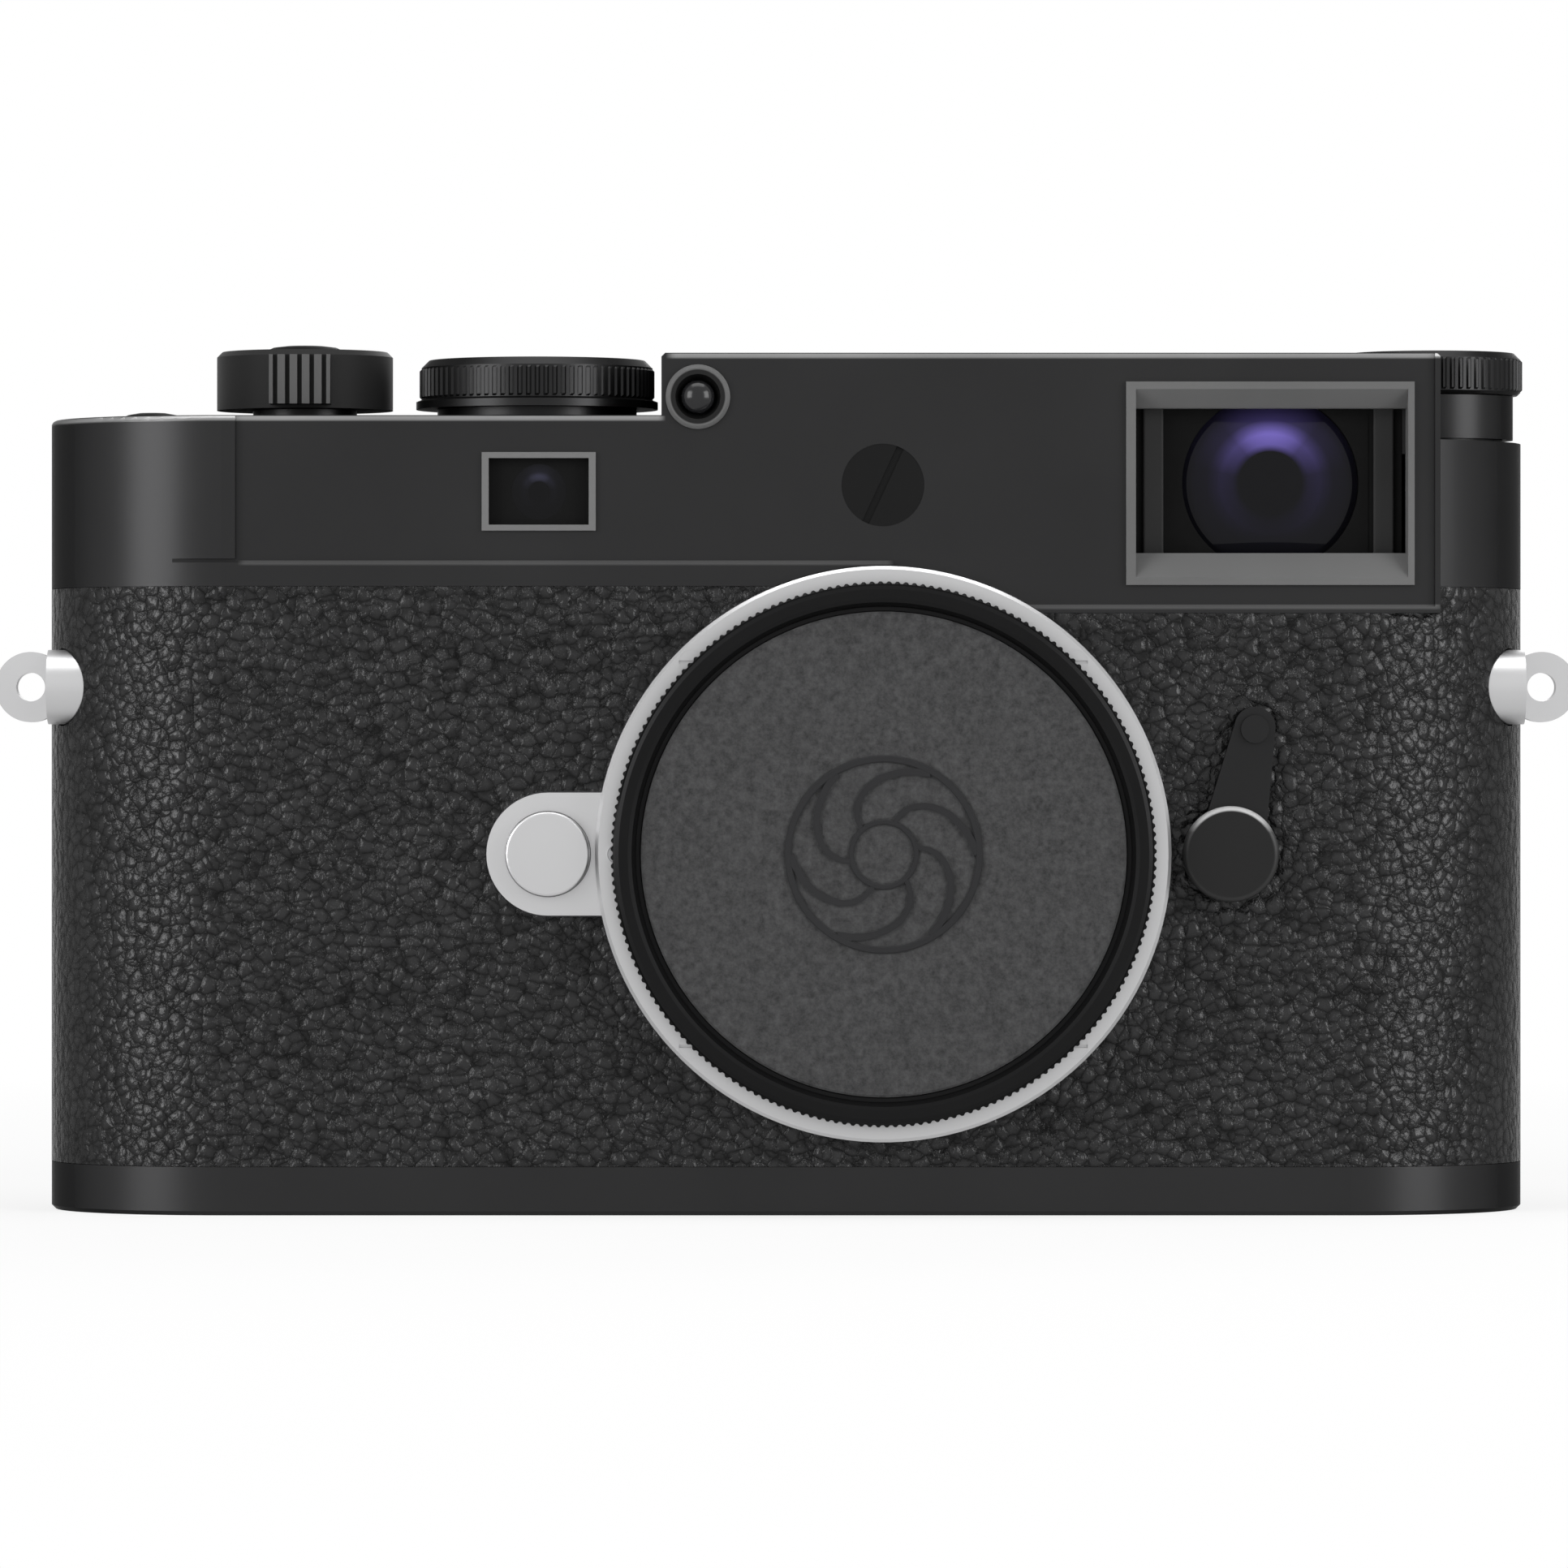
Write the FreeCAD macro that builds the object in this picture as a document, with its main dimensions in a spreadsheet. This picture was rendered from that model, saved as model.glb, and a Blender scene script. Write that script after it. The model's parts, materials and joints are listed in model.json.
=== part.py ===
"""A digital rangefinder camera body with its body cap on: shells, controls, finder, shutter and battery.

Frame: millimetres, +Z up, +X to the right as the front is looked at, -Y out of the front.
The origin is the mouth of the tripod socket, at the middle of the base.
"""

import FreeCAD, Part
import os

import Sketcher
from FreeCAD import Placement, Rotation, Vector

SIZES = {
    # Overall body
    "body_width": 139.0,
    "body_depth": 34.0,
    "base_height": 4.5,
    "cover_foot": 58.5,
    "shelf_height": 74.4,
    "roof_height": 80.2,
    "iso_shelf": 72.2,
    "step_x": -11.6,
    "housing_left": 10.0,
    "housing_right": 60.8,
    "housing_foot": 56.0,
    "lip_height": 2.2,
    "housing_lip": 0.6,
    "mill_depth": 0.63,
    "mill_left": -51.2,
    "mill_groove": 0.35,
    "cover_wall": 1.8,
    "roof_wall": 1.3,
    "leather": 0.8,
    "glue": 0.05,
    "shell_wall": 1.8,
    "base_floor": 2.0,
    "base_rim": 3.5,
    # Clearances
    "running": 0.05,
    "loose": 0.15,
    "gap": 0.3,
    # Lens mount and cap
    "lens_x": 9.0,
    "lens_rise": 2.4,
    "flange_radius": 26.7,
    "flange_proud": 2.9,
    "throat": 22.0,
    "lug_track": 23.6,
    "tab_thick": 1.3,
    "tab_gap_angle": 52.0,
    "cap_radius": 25.2,
    "cap_height": 4.6,
    "cap_recess": 0.8,
    "cap_disc": 22.9,
    "cap_skirt": 21.7,
    "cap_depth": 4.0,
    "cap_wall": 1.5,
    "cap_lug_radius": 23.3,
    "cap_lug_angle": 44.0,
    "button_gap": 4.4,
    "button_radius": 3.95,
    "guard_radius": 5.7,
    "guard_thick": 2.5,
    "button_height": 4.3,
    "press_travel": 1.2,
    "pin_reach": 24.7,
    "pin_radius": 0.8,
    # Frame selector lever
    "lever_gap": 5.5,
    "lever_hub": 4.45,
    "lever_arm": 12.0,
    "lever_tip": 1.9,
    "lever_lean": 11.0,
    "lever_shaft": 1.8,
    # Top controls
    "release_gap": 2.6,
    "control_y": -3.0,
    "collar_radius": 8.3,
    "collar_top": 80.8,
    "bush_radius": 4.9,
    "shutter_button_radius": 4.2,
    "shutter_button_top": 81.4,
    "cable_thread": 1.3,
    "cable_depth": 3.0,
    "tab_width": 5.7,
    "dial_gap": 0.9,
    "dial_radius": 11.0,
    "dial_top": 80.0,
    "dial_shaft": 2.9,
    "function_gap": 6.3,
    "function_radius": 3.0,
    "iso_x": 61.0,
    "iso_radius": 8.5,
    "iso_collar": 7.8,
    "iso_top": 80.8,
    "iso_split": 76.7,
    "iso_well": 9.3,
    "iso_stem": 3.0,
    "iso_lift": 1.8,
    # Finder, windows and eyepiece
    "finder_left": 31.6,
    "finder_right": 58.4,
    "finder_foot": 58.6,
    "finder_head": 77.5,
    "finder_sill": 3.0,
    "finder_x": 45.2,
    "finder_z": 68.2,
    "objective_radius": 8.2,
    "range_x": -23.0,
    "range_z": 67.3,
    "range_width": 10.6,
    "range_height": 7.3,
    "meter_x": -8.2,
    "meter_z": 76.1,
    "meter_radius": 3.0,
    "screw_z": 67.9,
    "screw_radius": 3.85,
    "eyepiece_x": 44.0,
    "eyepiece_radius": 8.2,
    "eyepiece_thread": 6.2,
    "eyepiece_bore": 5.4,
    # Accessory shoe
    "shoe_slot": 18.8,
    "shoe_throat": 12.6,
    "shoe_slot_height": 2.05,
    "shoe_rail": 1.1,
    "shoe_plate": 0.8,
    "shoe_front": -1.5,
    # Back
    "panel_left": -50.0,
    "panel_right": 45.0,
    "screen_left": -28.0,
    "screen_right": 42.0,
    "screen_foot": 9.0,
    "screen_head": 54.0,
    "glass_thick": 0.9,
    "keys_x": -39.0,
    "play_z": 50.5,
    "fn_z": 43.0,
    "menu_z": 13.5,
    "pad_z": 28.2,
    "pad_radius": 8.4,
    "key_radius": 1.9,
    "key_half": 2.0,
    "key_travel": 0.4,
    "wheel_x": -50.0,
    "wheel_inset": 4.8,
    "wheel_z": 67.5,
    "wheel_radius": 6.2,
    "wheel_height": 4.0,
    # Base
    "battery_left": -61.0,
    "battery_right": -25.0,
    "battery_half": 8.0,
    "battery_top": 54.2,
    "battery_corner": 2.0,
    "bay_wall": 0.8,
    "latch_x": -15.4,
    "latch_well": 6.4,
    "socket_radius": 5.0,
    "socket_bore": 2.6,
    "socket_depth": 6.0,
    "port_x": 47.0,
    "port_half": 2.9,
    "port_radius": 1.6,
    # Strap lugs
    "lug_x": 70.9,
    "lug_y": -7.0,
    "lug_z": 49.2,
    "lug_eye": 3.3,
    "lug_hole": 1.35,
    "lug_thick": 2.2,
    "lug_post": 3.5,
    # Light path
    "gate_half_width": 18.3,
    "gate_half_height": 12.3,
    "baffle_half_width": 21.0,
    "baffle_half_height": 15.0,
    "baffle_wall": 1.0,
    "shutter_depth": 3.8,
    "blade_height": 9.4,
    "blade_thick": 0.3,
    "blade_pitch": 0.5,
    "blade_overlap": 0.8,
    "sensor_clear": 0.6,
    "board_clear": 2.05,
    "sensor_thick": 1.6,
    "board_thick": 1.2,
    "arm_inset": 7.0,
    "arm_pivot_z": 62.0,
    "roller_inset": 4.4,
    "roller_z": 51.3,
    "roller_radius": 2.2,
    # Screws
    "screw_shank": 0.6,
    "screw_head": 1.15,
}

doc = FreeCAD.newDocument("rangefinder_camera")
sheet = doc.addObject("Spreadsheet::Sheet", "Sizes")
for row, (alias, value) in enumerate(SIZES.items(), 1):
    sheet.set(f"A{row}", alias)
    sheet.set(f"B{row}", str(value))
    sheet.setAlias(f"B{row}", alias)
doc.recompute()


class Size:
    """A length or angle worked out from the sheet: its value now, and the formula that follows the sheet."""

    def __init__(self, number, text):
        self.number = number
        self.text = text

    def join(self, other, sign, number):
        return Size(number, f"({self.text} {sign} {size(other).text})")

    def __add__(self, other):
        return self.join(other, "+", self.number + size(other).number)

    def __sub__(self, other):
        return self.join(other, "-", self.number - size(other).number)

    def __mul__(self, other):
        return self.join(other, "*", self.number * size(other).number)

    def __truediv__(self, other):
        return self.join(other, "/", self.number / size(other).number)

    def __neg__(self):
        return Size(-self.number, f"(0 - {self.text})")

    def __radd__(self, other):
        return size(other) + self

    def __rsub__(self, other):
        return size(other) - self

    def __rmul__(self, other):
        return size(other) * self


def size(value):
    return value if isinstance(value, Size) else Size(float(value), f"{float(value):.6f}")


class Table:
    """The sheet's cells by name."""

    def __getattr__(self, alias):
        return Size(SIZES[alias], f"Sizes.{alias}")


def bind(thing, name, value):
    thing.setExpression(name, size(value).text)


s = Table()
FRONT = -s.body_depth / 2
BACK = s.body_depth / 2
HALF = s.body_width / 2 - s.body_depth / 2
SHELL = s.body_depth / 2 - s.leather - s.glue
SHELL_IN = SHELL - s.shell_wall
COVER_IN = s.body_depth / 2 - s.cover_wall
MILLED = FRONT + s.mill_depth
FLANGE = FRONT - s.flange_proud
FAR = s.roof_height + 10

# Places worked out from what they stand beside
LENS_Z = s.base_height + s.flange_radius + s.lens_rise
BUTTON_X = s.lens_x - s.flange_radius - s.button_gap
LEVER_X = s.lens_x + s.flange_radius + s.lever_gap
DIAL_X = s.step_x - s.dial_radius - s.dial_gap
RELEASE_X = DIAL_X - s.dial_radius - s.release_gap - s.collar_radius
FUNCTION_X = RELEASE_X - s.collar_radius - s.function_gap
WHEEL_Y = BACK - s.wheel_inset
ARM_Y = FRONT + s.arm_inset
ROLLER_Y = FRONT + s.roller_inset
GLASS_BACK = BACK - s.glue
PANEL_Y = GLASS_BACK - s.glass_thick
MAIN_Y = PANEL_Y - 2.8
SENSOR_Y = MAIN_Y - 1 - s.board_clear - s.board_thick - s.sensor_thick
SHUTTER_FRONT = SENSOR_Y - s.sensor_clear - s.shutter_depth

PLANES = {"X": "YZ_Plane", "Y": "XZ_Plane", "Z": "XY_Plane"}
FACING = {
    "up": Rotation(),
    "front": Rotation(Vector(1, 0, 0), 90),
    "back": Rotation(Vector(1, 0, 0), -90),
    "right": Rotation(Vector(0, 1, 0), 90),
    "left": Rotation(Vector(0, 1, 0), -90),
    "down": Rotation(Vector(1, 0, 0), 180),
}


# Closed outlines. Each returns a function that draws it into a sketch with every dimension bound.
def tie(sketch, kind, value, *ends):
    index = sketch.addConstraint(Sketcher.Constraint(kind, *ends, size(value).number))
    bind(sketch, f"Constraints[{index}]", value)


def pin_point(sketch, edge, end, x, y):
    tie(sketch, "DistanceX", x, -1, 1, edge, end)
    tie(sketch, "DistanceY", y, -1, 1, edge, end)


def circle(x, y, radius):
    def draw(sketch):
        centre = Vector(size(x).number, size(y).number, 0)
        edge = sketch.addGeometry(Part.Circle(centre, Vector(0, 0, 1), size(radius).number))
        tie(sketch, "Radius", radius, edge)
        pin_point(sketch, edge, 3, x, y)

    return draw


def outline(*points):
    def draw(sketch):
        spots = [Vector(size(x).number, size(y).number, 0) for x, y in points]
        edges = [
            sketch.addGeometry(Part.LineSegment(a, b)) for a, b in zip(spots, spots[1:] + spots[:1])
        ]
        for before, edge, (x, y) in zip(edges[-1:] + edges[:-1], edges, points):
            sketch.addConstraint(Sketcher.Constraint("Coincident", before, 2, edge, 1))
            pin_point(sketch, edge, 1, x, y)

    return draw


def rect(x0, x1, y0, y1):
    return outline((x0, y0), (x1, y0), (x1, y1), (x0, y1))


def stadium(x0, x1, y, radius):
    """Two half circles about (x0, y) and (x1, y), joined by straight lines."""

    def draw(sketch):
        left, right, mid, r = (size(v).number for v in (x0, x1, y, radius))
        foot = sketch.addGeometry(Part.LineSegment(Vector(left, mid - r, 0), Vector(right, mid - r, 0)))
        head = sketch.addGeometry(Part.LineSegment(Vector(right, mid + r, 0), Vector(left, mid + r, 0)))
        ends = []
        for x, start, stop in ((right, -90, 90), (left, 90, 270)):
            ring = Part.Circle(Vector(x, mid, 0), Vector(0, 0, 1), r)
            ends.append(sketch.addGeometry(Part.ArcOfCircle(ring, start * DEGREE, stop * DEGREE)))
        for a, b in ((foot, ends[0]), (ends[0], head), (head, ends[1]), (ends[1], foot)):
            sketch.addConstraint(Sketcher.Constraint("Tangent", a, 2, b, 1))
        sketch.addConstraint(Sketcher.Constraint("Equal", *ends))
        tie(sketch, "Radius", radius, ends[0])
        pin_point(sketch, ends[0], 3, x1, y)
        tie(sketch, "DistanceX", x0, -1, 1, ends[1], 3)
        sketch.addConstraint(Sketcher.Constraint("Horizontal", foot))

    return draw


DEGREE = 3.141592653589793 / 180


class Solid:
    """One sub-part as a PartDesign body. Spans are given low to high along the body's own axes."""

    def __init__(self, label, facing="up", at=(0, 0, 0)):
        self.body = doc.addObject("PartDesign::Body", label)
        self.steps = 0
        self.body.Placement = Placement(Vector(), FACING[facing])
        for axis, value in zip("xyz", at):
            bind(self.body, f"Placement.Base.{axis}", value)

    def origin(self, role):
        return next(part for part in self.body.Origin.OriginFeatures if part.Role == role)

    def new(self, kind, name):
        self.steps += 1
        return self.body.newObject(kind, f"{self.body.Name}_{name}{self.steps}")

    def sketch(self, axis, level, shapes):
        made = self.new("Sketcher::SketchObject", "sketch")
        made.AttachmentSupport = (self.origin(PLANES[axis]), "")
        made.MapMode = "FlatFace"
        bind(made, "AttachmentOffset.Base.z", -size(level) if axis == "Y" else level)
        for draw in shapes:
            draw(made)
        return made

    def pad(self, axis, low, high, *shapes):
        made = self.new("PartDesign::Pad", "pad")
        made.Profile = self.sketch(axis, low, shapes)
        made.Reversed = axis == "Y"
        bind(made, "Length", size(high) - low)
        return self.finish(made)

    def pocket(self, axis, low, high, *shapes):
        made = self.new("PartDesign::Pocket", "pocket")
        made.Profile = self.sketch(axis, low, shapes)
        made.Reversed = axis != "Y"
        bind(made, "Length", size(high) - low)
        return self.finish(made)

    def turned(self, kind, name, profile, angle):
        made = self.new(kind, name)
        drawn = self.sketch("Y", 0, [profile])
        made.Profile = drawn
        made.ReferenceAxis = (drawn, ["V_Axis"])
        made.Midplane = True
        bind(made, "Angle", angle)
        return self.finish(made)

    def turn(self, profile, angle=360):
        """Material swept round the body's own Z axis. Profile points are (radius, height)."""
        return self.turned("PartDesign::Revolution", "turn", profile, angle)

    def groove(self, profile, angle=360):
        return self.turned("PartDesign::Groove", "groove", profile, angle)

    def around(self, feature, count):
        made = self.new("PartDesign::PolarPattern", "around")
        made.Originals = [feature]
        made.Axis = (self.origin("Z_Axis"), [""])
        made.Angle = 360
        made.Occurrences = count
        return self.finish(made)

    def along(self, feature, role, length, count):
        made = self.new("PartDesign::LinearPattern", "along")
        made.Originals = [feature]
        made.Direction = (self.origin(role), [""])
        bind(made, "Length", length)
        made.Occurrences = count
        return self.finish(made)

    def dress(self, kind, name, amount, pick):
        doc.recompute()
        base = self.body.Tip
        edges = [f"Edge{i}" for i, edge in enumerate(base.Shape.Edges, 1) if pick(edge)]
        if not edges:
            raise ValueError(f"{self.body.Label}: no edges for its {name}")
        made = self.new(kind, name)
        made.Base = (base, edges)
        bind(made, "Radius" if kind.endswith("Fillet") else "Size", amount)
        return self.finish(made)

    def fillet(self, amount, pick):
        return self.dress("PartDesign::Fillet", "fillet", amount, pick)

    def chamfer(self, amount, pick):
        return self.dress("PartDesign::Chamfer", "chamfer", amount, pick)

    def finish(self, feature):
        self.body.Tip = feature
        return feature


# Edge choosers for fillets and chamfers, in the body's own frame.
def near(a, b):
    return abs(a - size(b).number) < 0.01


def level(height):
    def pick(edge):
        return near(edge.BoundBox.ZMin, height) and near(edge.BoundBox.ZMax, height)

    return pick


def level_ring(height, radius):
    def pick(edge):
        round_edge = isinstance(edge.Curve, Part.Circle) and near(edge.Curve.Radius, radius)
        return round_edge and level(height)(edge)

    return pick


def upright(edge):
    return edge.BoundBox.XLength < 0.01 and edge.BoundBox.YLength < 0.01


def crossing(edge):
    """Straight edges that run front to back."""
    return edge.BoundBox.XLength < 0.01 and edge.BoundBox.ZLength < 0.01


# Primitives for pieces that are plain blocks and rods.
def block(name, x, y, z):
    made = doc.addObject("Part::Box", name)
    for side, axis, (low, high) in zip(("Length", "Width", "Height"), "xyz", (x, y, z)):
        bind(made, side, size(high) - low)
        bind(made, f"Placement.Base.{axis}", low)
    return made


def rod(name, facing, at, radius, length):
    made = doc.addObject("Part::Cylinder", name)
    made.Placement = Placement(Vector(), FACING[facing])
    for axis, value in zip("xyz", at):
        bind(made, f"Placement.Base.{axis}", value)
    bind(made, "Radius", radius)
    bind(made, "Height", length)
    return made


def union(label, parts):
    made = doc.addObject("Part::MultiFuse", label)
    made.Shapes = parts
    return made


def minus(label, base, tool):
    made = doc.addObject("Part::Cut", label)
    made.Base = base
    made.Tool = tool
    return made


NODES = []


def keep(label, thing):
    """Marks a finished object as the sub-part of that name."""
    made = thing.body if isinstance(thing, Solid) else thing
    made.Label = label
    NODES.append(made)
    return made


# Chassis, covers and covering
def plan(inset=0):
    """The rounded plan of the whole camera, drawn in by a margin."""
    return stadium(-HALF, HALF, 0, s.body_depth / 2 - inset)


KEYS = (("play_button", s.play_z), ("fn_button", s.fn_z), ("menu_button", s.menu_z))
LUG_SIDES = (("strap_lug_left", -1, "left"), ("strap_lug_right", 1, "right"))
SCREW_SPOTS = ((1, 1), (-1, 1), (-1, -1), (1, -1))
PIN_X = s.lens_x - s.pin_reach
SCREW_REACH = (s.flange_radius + s.lug_track) / 2 * 0.70710678
SHOE_HALF = s.shoe_slot / 2 + 1.2
SHOE_FLOOR = s.roof_height - s.shoe_plate - s.shoe_slot_height - s.shoe_rail - 0.2
BASE_SCREWS = ((-1, -1), (1, -1), (1, 1), (-1, 1))

shell = Solid("body_shell")
shell.pad("Z", s.base_height, s.cover_foot, stadium(-HALF, HALF, 0, SHELL))
shell.pocket("Z", s.base_height, s.cover_foot, stadium(-HALF, HALF, 0, SHELL_IN))
shell.pocket("Y", FRONT, FRONT / 2, circle(s.lens_x, LENS_Z, s.throat))
shell.pocket("Y", FRONT, FRONT / 2, circle(BUTTON_X, LENS_Z, 2.1))
shell.pocket("Y", FRONT, FRONT / 2, circle(PIN_X, LENS_Z, s.pin_radius + s.loose))
shell.pocket("Y", FRONT, FRONT / 2, circle(LEVER_X, LENS_Z, s.lever_shaft + s.running))
for across, up in SCREW_SPOTS:
    spot = circle(s.lens_x + SCREW_REACH * across, LENS_Z + SCREW_REACH * up, s.screw_shank)
    shell.pocket("Y", FRONT, FRONT / 2, spot)
window = rect(s.panel_left + 1.6, s.panel_right - 1.6, s.base_height + 3.6, s.cover_foot - 3.6)
shell.pocket("Y", BACK / 2, BACK, window)
for label, side, facing in LUG_SIDES:
    low, high = (HALF, s.body_width) if side > 0 else (-s.body_width, -HALF)
    shell.pocket("X", low, high, circle(s.lug_y, s.lug_z, s.lug_post))
keep("body_shell", shell)

leather = Solid("leather_covering")
LEATHER_FOOT = s.base_height + s.glue
LEATHER_HEAD = s.cover_foot - s.glue
leather.pad("Z", LEATHER_FOOT, LEATHER_HEAD, plan())
leather.pocket("Z", LEATHER_FOOT, LEATHER_HEAD, stadium(-HALF, HALF, 0, SHELL + s.glue))
skirt = rect(s.housing_left - s.glue, s.housing_right + s.glue, s.housing_foot - s.glue, FAR)
leather.pocket("Y", FRONT - 1, 0, skirt)
leather.pocket("Y", FRONT - 1, 0, circle(s.lens_x, LENS_Z, s.flange_radius + s.loose))
guard_hole = stadium(BUTTON_X, s.lens_x, LENS_Z, s.guard_radius + s.loose)
leather.pocket("Y", FRONT - 1, 0, guard_hole)
leather.pocket("Y", FRONT - 1, 0, circle(LEVER_X, LENS_Z, s.lever_shaft + s.gap))
leather.pocket("Y", 0, BACK + 1, rect(s.panel_left - s.glue, s.panel_right + s.glue, 0, FAR))
for label, side, facing in LUG_SIDES:
    low, high = (HALF, s.body_width) if side > 0 else (-s.body_width, -HALF)
    leather.pocket("X", low, high, circle(s.lug_y, s.lug_z, s.lug_post + s.loose))
keep("leather_covering", leather)

base = Solid("bottom_plate")
base.pad("Z", 0, s.base_height, plan())
base.chamfer(0.4, level(0))
base.pocket("Z", s.base_floor, s.base_height, stadium(-6, HALF, 0, BACK - s.base_rim))
base.pocket(
    "Z", s.base_floor, s.base_height, rect(s.battery_right + 2.6, 0, -s.latch_well, s.latch_well)
)
battery_hole = rect(
    s.battery_left - s.gap, s.battery_right + s.gap, -s.battery_half - s.gap, s.battery_half + s.gap
)
base.pocket("Z", -1, s.base_height, battery_hole)
base.pocket("Z", s.base_floor, s.base_height, rect(s.battery_right, 0, -2.0, s.latch_well))
base.pocket("Z", -1, s.base_floor * 0.8, circle(s.latch_x, 0, s.latch_well))
base.pocket("Z", -1, s.base_height, circle(s.latch_x, 0, 1.8 + s.running))
base.pocket("Z", -1, s.base_height, circle(0, 0, s.socket_radius))
base.pocket(
    "Z",
    -1,
    s.base_height,
    stadium(s.port_x - s.port_half, s.port_x + s.port_half, 0, s.port_radius),
)
for across, deep in BASE_SCREWS:
    spot = circle(across * (HALF + 7.0), deep * 11.0, s.screw_head)
    base.pocket("Z", -1, 0.9, spot)
    base.pocket("Z", -1, s.base_height, circle(across * (HALF + 7.0), deep * 11.0, s.screw_shank))
keep("bottom_plate", base)

rear = Solid("rear_panel")
rear.pad("Y", SHELL, BACK, rect(s.panel_left, s.panel_right, LEATHER_FOOT + 0.3, LEATHER_HEAD - 0.3))
rear.chamfer(0.25, lambda edge: near(edge.BoundBox.YMin, BACK) and near(edge.BoundBox.YMax, BACK))
rear.pocket("Y", 0, BACK + 1, rect(s.screen_left, s.screen_right, s.screen_foot, s.screen_head))
for label, height in KEYS:
    reach = s.key_radius + s.running
    rear.pocket("Y", 0, BACK + 1, stadium(s.keys_x - s.key_half, s.keys_x + s.key_half, height, reach))
rear.pocket("Y", 0, BACK + 1, circle(s.keys_x, s.pad_z, s.pad_radius + s.gap))
keep("rear_panel", rear)

# The top cover: low shelf on the left, raised finder housing, sunken shoulder under the right-hand dial
cover = Solid("top_cover")
cover.pad("Z", s.cover_foot, s.shelf_height, plan())
raised = outline(
    (s.step_x, FRONT),
    (s.housing_right, FRONT),
    (s.housing_right, BACK * 0.86),
    (HALF, BACK),
    (s.step_x, BACK),
)
cover.pad("Z", s.shelf_height, s.roof_height, raised)
cover.pad("Z", s.housing_foot, s.roof_height, rect(s.housing_left, s.housing_right, FRONT, FRONT * 0.6))
cover.pocket("Z", s.iso_shelf, FAR, rect(s.housing_right, s.body_width, -s.body_depth, s.body_depth))
cover.pocket("Z", s.iso_shelf, FAR, circle(s.iso_x, 0, s.iso_well))
cover.chamfer(0.35, level(s.roof_height))
foot = s.step_x.number


def shelf_rim(edge):
    return level(s.shelf_height)(edge) and edge.BoundBox.XMin < foot - 0.5


cover.fillet(0.5, shelf_rim)
LIP_TOP = s.cover_foot + s.lip_height
mill = outline(
    (s.mill_left, LIP_TOP),
    (s.housing_left, LIP_TOP),
    (s.housing_left, s.housing_foot + s.housing_lip),
    (s.housing_right - 0.5, s.housing_foot + s.housing_lip),
    (s.housing_right - 0.5, FAR),
    (s.mill_left, FAR),
)
cover.pocket("Y", FRONT - 1, MILLED, mill)
cover.pocket("Y", FRONT - 1, MILLED, rect(-s.body_width, s.mill_left, LIP_TOP, LIP_TOP + s.mill_groove))
cover.pocket("Z", 0, s.cover_foot, stadium(-HALF, HALF, 0, SHELL + s.glue))
LOW_CEILING = s.iso_shelf - s.roof_wall
SHELF_CEILING = s.shelf_height - s.roof_wall
HIGH_CEILING = s.roof_height - s.roof_wall
SHOE_CEILING = SHOE_FLOOR - 1.2
cover.pocket("Z", s.cover_foot, LOW_CEILING, stadium(-HALF, HALF, 0, COVER_IN))
cover.pocket("Z", LOW_CEILING, SHELF_CEILING, stadium(-HALF, 0, 0, COVER_IN))
INNER_RIGHT = s.iso_x - 11
cover.pocket("Z", LOW_CEILING, SHELF_CEILING, rect(0, INNER_RIGHT, -COVER_IN, COVER_IN))
inner_left = s.step_x + s.cover_wall
cover.pocket("Z", SHELF_CEILING, SHOE_CEILING, rect(inner_left, INNER_RIGHT, -COVER_IN, COVER_IN))
cover.pocket(
    "Z", SHOE_CEILING, HIGH_CEILING, rect(inner_left, INNER_RIGHT, -COVER_IN, s.shoe_front - 3.4)
)
shoe_side = s.lens_x + SHOE_HALF + 1.5
cover.pocket("Z", SHOE_CEILING, HIGH_CEILING, rect(shoe_side, INNER_RIGHT, s.shoe_front - 3.4, COVER_IN))
GLASS_Y = FRONT + 4.0
LENS_BACK = GLASS_Y + 2.2
TUNNEL_SIDE = s.finder_x + s.objective_radius + 0.9
corner = rect(shoe_side, TUNNEL_SIDE + s.gap, -COVER_IN, LENS_BACK + s.gap)
cover.pocket("Z", LOW_CEILING, HIGH_CEILING, corner)
cover.pocket("Y", FRONT - 1, -SHELL, circle(s.lens_x, LENS_Z, s.flange_radius + s.loose))
shoe_bay = rect(s.lens_x - SHOE_HALF, s.lens_x + SHOE_HALF, s.shoe_front - 1.2, BACK + 1)
cover.pocket("Z", SHOE_FLOOR, FAR, shoe_bay)
finder_hole = rect(s.finder_left, s.finder_right, s.finder_foot, s.finder_head)
cover.pocket("Y", FRONT - 1, FRONT + 4.2, finder_hole)
range_half_w = s.range_width / 2
range_half_h = s.range_height / 2
range_hole = rect(
    s.range_x - range_half_w, s.range_x + range_half_w, s.range_z - range_half_h, s.range_z + range_half_h
)
cover.pocket("Y", FRONT - 1, FRONT + 3, range_hole)
cover.pocket("Y", FRONT - 1, FRONT + 2.8, circle(s.meter_x, s.meter_z, s.meter_radius))
cover.pocket("Y", FRONT - 1, MILLED + 0.8, circle(s.lens_x, s.screw_z, s.screw_radius))
cover.pocket("Z", SHELF_CEILING - 1, FAR, circle(DIAL_X, s.control_y, s.dial_shaft + s.running))
cover.pocket("Z", SHELF_CEILING - 1, FAR, circle(RELEASE_X, s.control_y, s.bush_radius))
cover.pocket("Z", SHELF_CEILING - 1, FAR, circle(FUNCTION_X, 0, s.function_radius + s.running))
cover.pocket("Z", LOW_CEILING - 1, s.iso_shelf + 1, circle(s.iso_x, 0, s.iso_stem + s.running))
cover.pocket("Y", COVER_IN - 1, BACK + 1, circle(s.eyepiece_x, s.finder_z, s.eyepiece_radius - 1.2))
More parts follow.
